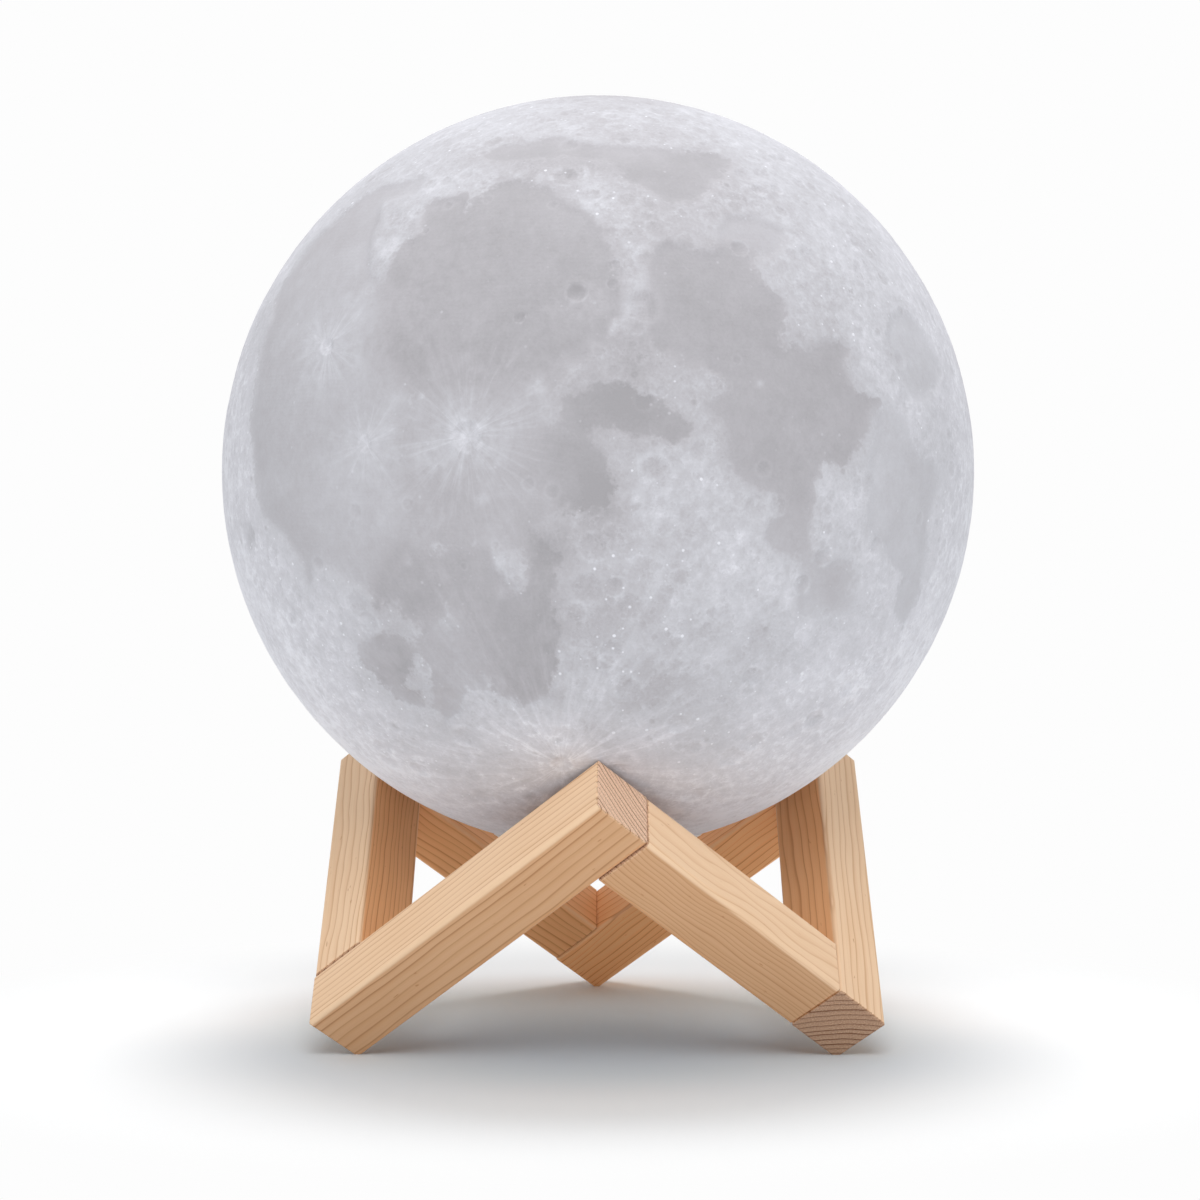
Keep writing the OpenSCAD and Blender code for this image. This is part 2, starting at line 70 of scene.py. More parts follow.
class Value:
    """One output socket of a net."""

    __add__, __radd__ = both_ways("ADD")
    __sub__, __rsub__ = both_ways("SUBTRACT")
    __mul__, __rmul__ = both_ways("MULTIPLY")
    __truediv__, __rtruediv__ = both_ways("DIVIDE")
    __pow__, __rpow__ = both_ways("POWER")

    def __init__(self, net, socket):
        self.net, self.socket = net, socket

    def __abs__(self):
        return self.net.maths("ABSOLUTE", self)

    def least(self, other):
        return self.net.maths("MINIMUM", self, other)

    def most(self, other):
        return self.net.maths("MAXIMUM", self, other)

    def rise(self, low, high):
        """0 below low, 1 above high, and a smooth step between them."""
        return self.net.add("MapRange", {"interpolation_type": "SMOOTHSTEP"}, {
            "Value": self, "From Min": low, "From Max": high})

    def fall(self, low, high):
        return 1 - self.rise(low, high)

    def between(self, start, full, still, end):
        """1 from full to still, and 0 before start and after end."""
        return self.rise(start, full) * self.fall(still, end)


# %% The net of a material or of the world


class Net:
    def __init__(self, owner):
        owner.use_nodes = True
        self.tree = owner.node_tree
        self.tree.nodes.clear()

    @staticmethod
    def find(sockets, name):
        """A socket by its place, its identifier or its name."""
        if isinstance(name, int):
            return sockets[name]
        return next(socket for socket in sockets if name in (socket.identifier, socket.name))

    def node(self, kind, settings=None, inputs=None):
        made = self.tree.nodes.new("ShaderNode" + kind)
        for name, setting in (settings or {}).items():
            setattr(made, name, setting)
        for name, value in (inputs or {}).items():
            socket = self.find(made.inputs, name)
            if isinstance(value, Value):
                self.tree.links.new(value.socket, socket)
            else:
                socket.default_value = (*value, 1) if socket.type == "RGBA" else value
        return made

    def out(self, made, name=0):
        return Value(self, self.find(made.outputs, name))

    def add(self, kind, settings=None, inputs=None, out=0):
        """Adds a node and gives one of its outputs."""
        return self.out(self.node(kind, settings, inputs), out)

    def maths(self, operation, *values):
        return self.add("Math", {"operation": operation}, dict(enumerate(values)))

    def vector(self, operation, *values, out="Vector", **inputs):
        inputs.update(enumerate(values))
        return self.add("VectorMath", {"operation": operation}, inputs, out)

    def dot(self, first, second):
        return self.vector("DOT_PRODUCT", first, second, out="Value")

    def join(self, x, y, z):
        return self.add("CombineXYZ", None, {"X": x, "Y": y, "Z": z})

    def end_in_two(self, share, first, second, end_kind):
        """Ends the net in a mix of two shaders, where share is the part of the second."""
        both = self.add("MixShader", None, {0: share, 1: first, 2: second})
        self.node(end_kind, None, {0: both})


# %% The patterns and the end of a finish


class Finish(Net):
    def __init__(self, name):
        self.material = bpy.data.materials.new(name)
        super().__init__(self.material)

    def millimetres(self, middle=(0, 0, 0)):
        """The place on the piece in millimetres, from its middle."""
        place = self.add("TexCoord", out="Object")
        return self.vector("SCALE", self.vector("SUBTRACT", place, tuple(middle)), Scale=1 / MM)

    def facing(self):
        return self.add("TexCoord", out="Normal")

    def noise(self, place, size=1.0, detail=4, roughness=0.5):
        """Cloudy noise from 0 to 1, with blobs of about the given size in the units of place."""
        return self.add("TexNoise", None, {
            "Vector": place, "Scale": 1 / size, "Detail": detail, "Roughness": roughness})

    def cells(self, place, size, channel, randomness=1.0, **settings):
        """Cells round scattered points: the lot from 0 to 1 that each one draws in a colour channel,
        and the distance from its point."""
        made = self.node("TexVoronoi", settings, {
            "Vector": place, "Scale": 1 / size, "Randomness": randomness})
        return self.dot(self.out(made, "Color"), channel), self.out(made, "Distance")

    def mix(self, factor, first, second, blend="MIX"):
        return self.add("Mix", {"data_type": "RGBA", "blend_type": blend}, {
            "Factor_Float": factor, "A_Color": first, "B_Color": second}, "Result_Color")

    def tint(self, factor, colour, by):
        """The colour times another one, as far as the factor goes."""
        return self.mix(factor, colour, by, "MULTIPLY")

    def ramp(self, value, stops):
        made = self.node("ValToRGB", None, {"Fac": value})
        for place, (at, colour) in enumerate(stops):
            stop = made.color_ramp.elements[place] if place < 2 else made.color_ramp.elements.new(at)
            stop.position, stop.color = at, (*colour, 1)
        return self.out(made)

    def bump(self, height, depth, strength=0.5, under=None):
        """A normal from a height of 0 to 1 and the depth in millimetres that 1 stands for."""
        inputs = {"Height": height, "Distance": depth * MM, "Strength": strength}
        if under is not None:
            inputs["Normal"] = under
        return self.add("Bump", None, inputs)

    def dress(self, pieces, colour, roughness, normal, **fixed):
        """Ends the net in one Principled shader, and gives the material to the pieces. What is fixed
        is set on the shader's own sockets."""
        inputs = {"Base Color": colour, "Roughness": roughness, "Normal": normal}
        inputs.update({name.replace("_", " "): value for name, value in fixed.items()})
        shader = self.add("BsdfPrincipled", None, inputs)
        self.node("OutputMaterial", None, {0: shader})
        for piece in pieces:
            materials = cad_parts[piece].data.materials
            materials.clear()
            materials.append(self.material)


def srgb(red, green, blue):
    """A colour as a screen shows it, from 0 to 255, in the linear numbers that a shader takes."""
    return tuple((c / 255 / 12.92) if c <= 10 else ((c / 255 + 0.055) / 1.055) ** 2.4
                 for c in (red, green, blue))


def into_scene(name, data):
    made = bpy.data.objects.new(name, data)
    bpy.context.scene.collection.objects.link(made)
    return made


print("shader helpers ready")

# %% [markdown]
# ## The camera
# The photograph looks level across a table, from a little above the middle of the globe. A camera that
# was fitted to the bars' corners gives the distance, the height and the field of view used here.

# %% Camera
CAMERA_SIDE, CAMERA_BACK, CAMERA_HIGH = -0.13 * MM, 556.8 * MM, 101.1 * MM
LOOK_DOWN, LOOK_ROLL, LOOK_RIGHT = 0.02564, -0.00121, 0.00095  # radians
FOCAL_LENGTH, SENSOR = 82.95, 36.0

lens = bpy.data.cameras.new("camera")
lens.lens, lens.sensor_width = FOCAL_LENGTH, SENSOR
lens.clip_start, lens.clip_end = 0.01, 20
camera = into_scene("camera", lens)
camera.location = (CAMERA_SIDE, -CAMERA_BACK, CAMERA_HIGH)
camera.rotation_euler = (math.pi / 2 - LOOK_DOWN, LOOK_ROLL, -LOOK_RIGHT)
bpy.context.scene.camera = camera
bpy.context.scene.view_settings.view_transform = "Standard"
print("camera", [round(v / MM) for v in camera.location], "mm, lens", FOCAL_LENGTH)

# %% [markdown]
# ## The light and the table
# The photograph was lit by broad soft lamps overhead and in front, in a white room, on a white table. So
# the world is an even white, two wide lamps hang far off, and the table is nearly white. The table keeps
# the shadow round the stand. Farther off, where the camera looks at the table or past it, a plain white
# shows, and the shadow fades into it, so the table meets the background without a line.

# %% World and lamps
WORLD_LEVEL = 0.58
BACKGROUND = srgb(253, 253, 253)
LAMPS_AIM = Vector((0, 0, 0.06))
LAMPS = {  # watts, width in metres and place
    "top_lamp": (25.0, 1.0, (0.03, 0.5, 2.3)),
    "front_lamp": (21.0, 1.3, (0.02, -1.5, 1.65))}


def seen_directly(net):
    """1 for rays that look: from the camera, off a shiny surface or through glass."""
    path = net.node("LightPath")
    from_camera, off_gloss, through_glass = (
        net.out(path, f"Is {kind} Ray") for kind in ("Camera", "Glossy", "Transmission"))
    return from_camera.most(off_gloss).most(through_glass)


white_room = bpy.data.worlds.new("white_room")
room = Net(white_room)
air = room.add("Background", None, {"Strength": WORLD_LEVEL})
glow = room.add("Background", None, {"Color": BACKGROUND, "Strength": 1.0})
room.end_in_two(seen_directly(room), air, glow, "OutputWorld")
bpy.context.scene.world = white_room

for name, (watts, width, place) in LAMPS.items():
    lamp = bpy.data.lights.new(name, "AREA")
    lamp.shape, lamp.size, lamp.energy = "DISK", width, watts
    hung = into_scene(name, lamp)
    hung.location = place
    hung.rotation_euler = (LAMPS_AIM - Vector(place)).to_track_quat("-Z", "Y").to_euler()
    print(name, watts, "W at", place)

# %% Table top
# The light from all sides is a little too even, so the tone of the table deepens the shadow under the
# stand. The tone near it is cool, because the wood throws warm light there. Where each tone and the
# shadow start and stop changing is in millimetres.
TABLE_SIDE = 6.0
TABLE_WHITE = (0.87, 0.88, 0.885)
TABLE_NEAR, NEAR_WIDE = (0.88, 0.97, 1.0), (44.0, 74.0)
TABLE_UNDER, UNDER_WIDE = (0.56, 0.63, 0.69), (8.0, 76.0)
UNDER_MIDDLE, UNDER_SHAPE = (0.0, -25.0 * MM, 0.0), (0.75, 1.3, 1.0)
SHADOW_WIDE, SHADOW_SHAPE = (94.0, 156.0), (1.0, 1.15, 1.0)

paper = Finish("white_table")


def oval_reach(middle, shape):
    """The distance from a middle, longer or shorter along each axis as the shape says."""
    return paper.vector("LENGTH", paper.vector("MULTIPLY", paper.millimetres(middle), shape), out="Value")


from_axis = oval_reach((0, 0, 0), SHADOW_SHAPE)
white = paper.mix(from_axis.rise(*NEAR_WIDE), TABLE_NEAR, TABLE_WHITE)
white = paper.mix(oval_reach(UNDER_MIDDLE, UNDER_SHAPE).rise(*UNDER_WIDE), TABLE_UNDER, white)
lit = paper.add("BsdfDiffuse", None, {"Color": white})
plain = paper.add("Emission", None, {"Color": BACKGROUND, "Strength": 1.0})
far_off = from_axis.rise(*SHADOW_WIDE) * seen_directly(paper)
paper.end_in_two(far_off, lit, plain, "OutputMaterial")

grid = bmesh.new()
bmesh.ops.create_grid(grid, x_segments=8, y_segments=8, size=TABLE_SIDE / 2)
table_mesh = bpy.data.meshes.new("table_top")
grid.to_mesh(table_mesh)
grid.free()
table_mesh.materials.append(paper.material)
table_top = into_scene("table_top", table_mesh)
print("table top", TABLE_SIDE, "m")

# %% [markdown]
# ## The moon's map
# The globe shows the moon as it is seen from the earth, with the near side to the front. A real shell is
# printed from a height map in thin layers, and the tones of the map are printed with it. The map could
# be a picture, but a picture has a fixed sharpness and has to be kept beside the script. Here it is
# written down instead, in tables with a comma after each row. The coast of each sea is a table of its
# corners, as latitude and longitude in degrees.

# %% The seas: the tone of each one (0 is dark, 1 is bright) and its coast
SEAS = {
    "rains": (0.11, """
    40 -35, 41.5 -34.5, 42 -31, 42.5 -27.5, 40.5 -25.5, 42.5 -23.5, 44.5 -22, 46 -19.5, 45.5 -16,
    44.5 -11.5, 42.5 -9, 41 -7, 40 -4.5, 38 -2.5, 36 -1, 34 0, 32.5 1, 29.5 2.5, 26.5 2, 25 2.5, 23 2.5,
    21 0.5, 18.5 -1, 16.5 -3.5, 14 -5.5, 12.5 -7, 12 -9.5, 11.5 -10.5, 11 -14, 10.5 -16.5, 11 -19.5,
    11.5 -22, 10.5 -24, 11.5 -26.5, 12.5 -29.5, 11.5 -32.5, 16.5 -35.5, 22 -37.5, 27 -37, 29.5 -37.5,
    33 -36.5, 35 -35.5, 36 -33.5"""),
    "storms": (0.36, """
    47 -41, 47 -46, 46.5 -53, 44.5 -58, 41.5 -61, 38.5 -64, 35.5 -66, 32.5 -67.5, 29.5 -68, 26 -68,
    22 -64.5, 18 -64.5, 14 -63.5, 10 -63, 6.5 -62.5, 3.5 -61, 0 -60, -3 -59, -6 -58, -8 -55.5, -10 -52,
    -12.5 -49.5, -17 -49, -16 -47.5, -13.5 -46.5, -13.5 -43.5, -14.5 -40.5, -16 -39, -16 -36.5, -13.5 -35,
    -10 -31.5, -8 -29, -4 -28.5, 0 -29, 5.5 -30, 8 -29.5, 12.5 -29.5, 16.5 -33, 22 -35, 27 -36.5, 29 -39.5,
    32 -43, 35.5 -45, 39 -46, 42.5 -48.5, 43.5 -40"""),
    "islands": (0.22, """
    8 -29.5, 10.5 -24, 11 -19.5, 11 -14, 12 -9.5, 8 -8, 4 -8.5, 0 -7, -1 -5, -3.5 -6.5, -6 -9.5, -9.5 -10,
    -10.5 -12.5, -9 -16, -10 -20.5, -10 -25.5, -8.5 -29.5, 0 -29.5"""),
    "clouds": (0.15, """
    -10.5 -34, -8 -29.5, -9.5 -25, -11 -24, -10 -20.5, -10.5 -16, -13.5 -14.5, -16 -11.5, -12.5 -10.5,
    -10.5 -10.5, -8 -9, -8.5 -7, -10.5 -5, -13 -6.5, -15.5 -7, -19 -6.5, -21 -5.5, -23.5 -6, -26 -6.5,
    -28.5 -7, -31 -7, -32 -9, -33 -12.5, -32.5 -15, -30.5 -16.5, -28.5 -18, -26 -19, -23 -19.5,
    -20.5 -20.5, -18 -22.5, -19 -23.5, -21 -25.5, -20.5 -27.5, -20 -29.5, -18.5 -31, -19 -33.5, -18 -35,
    -15.5 -35.5, -13 -34.5"""),
    "moisture": (0.3, """
    -23 -39, -23 -36, -22.5 -32, -23.5 -30.5, -26 -29.5, -29 -31.5, -31.5 -33.5, -32 -31, -34 -30.5,
    -34.5 -33, -33 -35.5, -31 -38.5, -28.5 -40, -25.5 -41"""),
    "low_moisture": (0.3, """
    -32 -27, -31.5 -24.5, -32.5 -23, -35 -23.5, -37 -27, -34.5 -28"""),
    "southern_marsh": (0.26, """
    -21 -26.5, -21.5 -20.5, -27.5 -18.5, -31 -19, -31 -22, -29.5 -25, -27 -27, -24 -28.5"""),
    "vapours": (0.06, """
    10.5 -5, 12 -3, 13 -1, 13 2, 12.5 4, 11 6.5, 9.5 9, 7.5 11.5, 6 11.5, 5 9, 6.5 6.5, 5.5 4, 7 1.5,
    7 -0.5, 6 -2.5, 7 -4.5"""),
    "central_bay": (0.1, """
    4 -8.5, 6 -7, 6 -3.5, 5 -1.5, 3 0, 0 1, -3 1, -3.5 0, -3.5 -2, -3 -4, -1 -5, 0 -7, 1 -9.5"""),
    "bay_of_heats": (0.12, """
    19.5 -6.5, 19.5 -4, 19.5 -1, 17.5 -2.5, 16 -4.5, 14.5 -6, 14 -7.5, 16.5 -8"""),
    "serenity": (0.13, """
    29.5 7.5, 32.5 8.5, 34.5 11, 34 13.5, 33 16, 32.5 18.5, 33.5 20.5, 34 22.5, 33 24.5, 30.5 24.5,
    28.5 25, 27 26.5, 25 28.5, 23 28, 20 27, 17.5 27.5, 16.5 26.5, 15.5 25, 14 23, 14.5 20.5, 14 18,
    14.5 16, 15.5 14.5, 16 12, 17 10.5, 17.5 8.5, 19.5 7.5, 21.5 7, 24 6.5, 27 7"""),
    "lake_of_dreams": (0.3, """
    39.5 22, 40 27, 39 31, 38 33.5, 35 32, 32.5 28, 32.5 25, 34 22, 36.5 20.5"""),
    "tranquillity": (0.15, """
    19.5 28, 18.5 31.5, 20 34.5, 20 37.5, 18.5 38.5, 16.5 37.5, 14.5 38, 12.5 38.5, 11.5 41.5, 11 43,
    10 41, 7.5 39.5, 5 38.5, 2 37.5, 1.5 35.5, 2 32.5, 0.5 31.5, -0.5 30.5, -2.5 30.5, -4.5 30, -5 28.5,
    -4.5 26, -3 25, -1.5 24, -1.5 21.5, 0 20, 1 18.5, 3 17.5, 5.5 17.5, 8 17, 10 15, 11.5 16.5, 12.5 18.5,
    14 20.5, 14 23, 15.5 25.5, 17 27.5"""),
    "southern_bay": (0.26, """
    -5.5 23.5, -4.5 26, -4.5 29.5, -7 30.5, -10 30.5, -10 27.5, -9.5 25, -7.5 23"""),
    "nectar": (0.36, """
    -11 30, -10.5 33, -11 35.5, -11 38.5, -13 40, -15 39.5, -18 40.5, -18.5 37.5, -18 34.5, -17.5 31.5,
    -15 30, -12.5 30"""),
    "fertility": (0.46, """
    9.5 42.5, 10 46, 9 48.5, 6.5 50, 4.5 54, 3 57, 0.5 58, -1 58, -3.5 57, -7 56.5, -10 57, -12.5 56.5,
    -16 57.5, -17.5 56.5, -19.5 56, -21 54.5, -18.5 51, -16 50.5, -13 50.5, -11.5 47.5, -9.5 45.5, -8.5 43,
    -7 41, -5 40.5, -2.5 41, -0.5 40.5, 1.5 40, 3.5 40.5, 6 42"""),
    "crises": (0.48, """
    23.5 51, 25 55, 24.5 58.5, 22 61, 19 62, 17 63.5, 14 60, 12 56, 11.5 53, 12.5 50.5, 15 49.5, 17.5 48.5,
    20 48.5"""),
    "western_cold": (0.24, """
    52 -29.5, 54 -28, 55.5 -22.5, 56 -17.5, 57 -12.5, 55 -6, 55 -0.5, 54.5 4.5, 54 10, 53 13.5, 49.5 12,
    50 8, 50.5 4.5, 51 -0.5, 50.5 -4.5, 52 -9.5, 51 -13.5, 51 -18, 50.5 -21.5, 50 -25.5"""),
    "eastern_cold": (0.16, """
    53 13, 54 20, 54 26, 52.5 29.5, 50.5 29.5, 47 26, 47.5 20.5, 49 17.5, 49 12.5"""),
    "cold_bay": (0.18, """
    50 2.5, 50 8.5, 49 12.5, 48.5 17.5, 47 20.5, 45 21, 43 17.5, 42.5 12.5, 44.5 8.5, 46 4"""),
}


def rows(table):
    return [[float(number) for number in row.split()] for row in table.split(",")]


print(len(SEAS), "seas with", sum(len(rows(coast)) for _, coast in SEAS.values()), "corners")

# %% [markdown]
# ## Craters, bright spots and rays
# A crater is a round dish with a raised rim. The larger ones are listed one by one, and hundreds of small
# ones are scattered by a seeded draw, as on the real moon. Young craters have thrown bright dust about:
# a soft halo and thin rays. Old dust makes softer bright and dark patches.
# Two of the dark patches are painted shade, not dust: one on the north pole, one low on the front by the
# stand.

# %% Tables of craters and patches
# Latitude, longitude and radius in degrees, depth and height of the rim in mm
RINGS = """
    5.5 -18.6 2.2 0.5 0.2, 4.2 -34.6 1.2 0.3 0.15, 18 -45 1.3 0.4 0.2, -44.5 -6.5 1.6 0.45 0.2,
    13.5 15.5 0.9 0.2 0.15, 46.7 -8.3 2.0 0.3 0.2, 26 -4.3 1.5 0.25 0.18, 30.5 1.5 0.9 0.2 0.15,
    27.5 1.2 0.9 0.2 0.12, 22.2 -12.5 0.9 0.25 0.15, 45.5 32.5 1.3 0.3 0.18, 46 37.5 1.1 0.3 0.15,
    54 48 1.7 0.35 0.2, 34 23 1.4 0.25 0.15, 66 -12 2.0 0.3 0.2, 68 22 2.2 0.3 0.2, 62 -45 2.0 0.3 0.2,
    -9.5 -63.5 2.8 0.4 0.2, 12 8 0.9 0.2 0.12, -9 -1 2.1 0.3 0.16, -14.5 2 1.5 0.3 0.15,
    -10 33 1.6 0.3 0.18, -14 30 1.5 0.3 0.15, -8.7 43 1.4 0.35 0.2, 1 66 2.0 0.35 0.2, -27 51 2.0 0.3 0.2,
    -21 -36.5 1.8 0.3 0.2, -44 -48 2.1 0.35 0.2, -48 -41 1.8 0.3 0.2, -30 5 1.9 0.25 0.16,
    -24 2 1.8 0.25 0.16, -36 14 1.8 0.25 0.16, -28 25 1.7 0.25 0.15, -40 30 2.0 0.3 0.16,
    -52 24 2.0 0.3 0.16, -58 -14 2.8 0.35 0.2, -60 12 2.2 0.3 0.18, -36 42 1.8 0.3 0.16,
    -54 -28 1.9 0.3 0.18, 6 141 4.2 0.5 0.2, -20 149 4.4 0.5 0.2, 2 -129 5.4 0.5 0.2, -4 -158 5.2 0.5 0.2,
    -20 129 3.0 0.4 0.2, 40 -130 2.6 0.4 0.2"""

# Latitude, longitude, radius in degrees, and how much brighter (or darker, below 0). The dark patch at
# 84 0 is painted shade that offsets the top lamp, and the one at -64 -8 is painted shade by the stand.
PATCHES = """
    5.5 -18.6 2.2 0.28, 5.5 -18.6 6 0.2, 6 -20 12 0.08, 18 -45 1.1 0.5, 18 -46 4.5 0.14, 4.2 -34.6 1.8 0.2,
    4.2 -34.6 5 0.1, 10.7 -26 0.5 0.4, 2.2 -25.7 2.2 0.1, 13.5 15.5 0.7 0.3, 12 8 0.6 0.25,
    13.5 22.5 0.6 0.3, 22.5 -24 0.5 -0.1, 16 -19.5 1.3 0.12, 18.5 -27.5 1.2 0.08, 24 -8 2.2 0.12,
    23.5 -4 2 0.1, 24 -0.5 2 0.08, 26.5 -1.5 1.8 0.08, 12.5 -9 1.6 0.2, 15.5 -5 1.6 0.2,
    18.5 -1.5 1.6 0.16, 21 2 1.6 0.2, 24 4 1.6 0.2, 28 5 1.6 0.2, 33 5 1.8 0.2, 38 3 2 0.16, 41 -2 2.4 0.2,
    45 -3 2.6 0.18, 40 -37 3.2 0.12, 34 -38.5 2.4 0.16, 44 -35 3 0.14, 48 -30 3 0.12, 16 44 2.8 0.2,
    13 47 2.2 0.2, 20 42 3 0.12, 30 45 7 0.12, 50 -62 6 -0.14, 22 -70 8 -0.14, 0 -72 7 0.08, 58 20 9 -0.08,
    38 -58 10 -0.1, 24 -32 8 0.08, 18 -46 12 0.04, 4 32 6 0.08, 17 4 5 -0.22, 10 3 4.5 -0.08, 2 -4 5 -0.1,
    0 -11 3 -0.08, -5 -22 5 -0.03, -22 -24 4 0.08, -18 -2 8 -0.18, -10 -2 5 -0.14, -30 2 8 -0.12,
    -28 20 7 -0.08, -44 -30 12 -0.18, -7 19 1.6 0.16, -11.5 17.5 1.3 0.15, -13.5 24.5 2.5 0.16,
    -10 20 5 0.1, -16 28 1.2 0.2, -2.5 4.5 0.6 0.3, -4.5 8 0.6 0.3, -3.5 -4.5 0.5 0.25, -6 -3.5 0.5 0.25,
    -3 -16.5 0.9 0.2, -11.5 -14 0.8 0.24, -16 -14 0.8 0.22, -12 -28 1 0.16, -13 -24.5 0.8 0.16,
    -26.5 -60.5 1.2 0.3, -28.5 -55.5 1 0.26, -30 -58 4 0.12, -44.5 -6.5 1.2 0.2, -41 -5 5 0.1,
    -29 50 4 0.2, -24 57 2.4 0.12, -10 41.5 1.6 0.14, -3 37.5 2 0.14, 1 43 1.8 0.12, 46.7 -8.3 1.7 -0.16,
    26 -4.3 1.2 -0.08, -9.5 -63.5 2.3 -0.3, 45 59 1.2 -0.2, 2 62 6 -0.08, -8 -8 5 -0.16, -24 10 14 -0.13,
    -19 0 4 -0.1, -29 -31 4.5 -0.24, -31 -40 5 -0.16, -20 -31 5 -0.16, -20 -40 5 -0.1, 51 -20 5 -0.14,
    51 -8 5 -0.18, 51 -31 4 -0.14, 51 3 4 -0.1, 41 11 9 -0.12, 38 -43 4 -0.12, -10 -50 5 -0.08,
    84 0 14 -0.4, -3.5 0 4 -0.32, -38 14 10 -0.18, 24 62 5 0.1, 10 52 3 0.1, -64 -8 10 -0.12,
    -14 35.5 3.5 -0.1, -44 -46 7 -0.06"""

# Where the rays start, how far they reach in degrees, how many there are to a turn, and how bright
RAYS = [(5.5, -18.6, 22, 44, 0.19), (18, -45, 11, 22, 0.24), (4.2, -34.6, 11, 22, 0.2),
        (-44.5, -6.5, 54, 38, 0.24)]
print(len(rows(RINGS)), "craters,", len(rows(PATCHES)), "patches,", len(RAYS), "ray systems")

# %% [markdown]
# ## Maths for the relief
# Everything on the globe is found by its direction from the middle, so the helpers take unit vectors.
# Numpy works on all the points at once, which keeps ninety thousand points down to a few seconds.

# %% Directions, distances and cloudy noise
GLOBE_RADIUS, SHELL_INSIDE, OPENING_RADIUS = 75.0, 72.8, 21.0
GLOBE_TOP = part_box("moon_shade")[1][2] / MM
GLOBE_MIDDLE = np.array([0.0, 0.0, GLOBE_TOP - GLOBE_RADIUS])
# The globe lies loose on its stand, so its map leans a little: degrees round x, y and z
GLOBE_LEANS = np.array(Euler([math.radians(angle) for angle in (1.9, 1.0, 0.5)], "XYZ").to_matrix())
OCTAVE_SHIFT, SEED_STEP = 19.7, 9176
HASH_STEPS, HASH_MIX = (73856093, 19349663, 83492791), 1274126177


def on_moon(latitude, longitude):
    """Unit vectors. Longitude 0 is at the front, and east is to the right."""
    latitude, longitude = np.radians(latitude), np.radians(longitude)
    flat = np.cos(latitude)
    upright = np.stack([flat * np.sin(longitude), -flat * np.cos(longitude), np.sin(latitude)], -1)
    return upright @ GLOBE_LEANS.T


def unit(vectors):
    return vectors / np.linalg.norm(vectors, axis=-1, keepdims=True)


def degrees_from(spots, latitude, longitude):
    return np.degrees(np.arccos(np.clip(spots @ on_moon(latitude, longitude), -1, 1)))


def smooth(value, low, high):
    step = np.clip((value - low) / (high - low), 0, 1)
    return step * step * (3 - 2 * step)


def cloud(spots, size, octaves, seed, keep=0.5):
    """Fractal noise from -1 to 1, with blobs of the given size on the unit globe. Every corner of a
    grid gets a number that is mixed from its place, so a seed always gives the same clouds."""
    total, strength, reach = np.zeros(len(spots)), 1.0, 0.0
    for octave in range(octaves):
        spread = spots * (2 ** octave / size) + OCTAVE_SHIFT * (octave + seed)
        cell = np.floor(spread).astype(np.int64)
        within = spread - cell
        within = within * within * (3 - 2 * within)
        for corner in np.ndindex(2, 2, 2):
            share = np.prod(np.where(corner, within, 1 - within), -1)
            mixed = ((cell + corner) * HASH_STEPS).sum(-1) + seed * SEED_STEP
            mixed = (mixed ^ (mixed >> 13)) * HASH_MIX & 0x7FFFFFFF
            total += strength * share * (((mixed ^ (mixed >> 15)) & 0xFFFF) / 32767.5 - 1)
        reach += strength
        strength *= keep
    return total / reach


# %% How far a point is from a coast
FAR_OFF = 14.0  # degrees; farther than this makes no difference


def flatten(spots, axes):
    """A flat map in degrees round the third axis, true in distance from its middle."""
    local = spots @ axes.T
    angle = np.arccos(np.clip(local[:, 2], -1, 1))
    return np.degrees(angle / np.maximum(np.sin(angle), 1e-6))[:, None] * local[:, :2]


def degrees_inside(spots, coast):
    """How far each point lies inside a coast in degrees, and below 0 outside it."""
    corners = on_moon(*np.array(coast, float).T)
    middle = unit(corners.mean(0))
    east = unit(np.cross(Z, middle))
    axes = np.stack([east, np.cross(middle, east), middle])
    found = np.full(len(spots), -FAR_OFF)
    near = np.flatnonzero(spots @ middle > (corners @ middle).min() - math.sin(math.radians(FAR_OFF)))
    flat = flatten(spots[near], axes)
    ends = flatten(corners, axes)
    nearest, inside = np.full(len(near), np.inf), np.zeros(len(near), bool)
    for start, stop in zip(np.roll(ends, 1, axis=0), ends):
        run = stop - start
        along = np.clip(((flat - start) @ run) / (run @ run), 0, 1)
        nearest = np.minimum(nearest, np.linalg.norm(flat - start - along[:, None] * run, axis=1))
        if start[1] != stop[1]:
            crossed = (start[1] > flat[:, 1]) != (stop[1] > flat[:, 1])
            inside ^= crossed & (flat[:, 0] < start[0] + (flat[:, 1] - start[1]) / run[1] * run[0])
    found[near] = np.maximum(np.where(inside, nearest, -nearest), -FAR_OFF)
    return found


print("globe middle at", GLOBE_MIDDLE.round(2), "mm")

# %% [markdown]
# ## A net of points over the globe
# A globe made of rings and meridians bunches its points at the poles. A cube blown up to a ball spreads
# them evenly. The front is what people look at, so a squeeze that keeps all angles then draws the
# points to the front: fine there, coarser behind, and nowhere a seam or a step in the net.

# %% A cube blown up to a ball
CELLS, INNER_CELLS = 122, 26
SQUEEZE = 1.65
SHEET_TILES, TILE_EDGE = (4, 2), 0.01


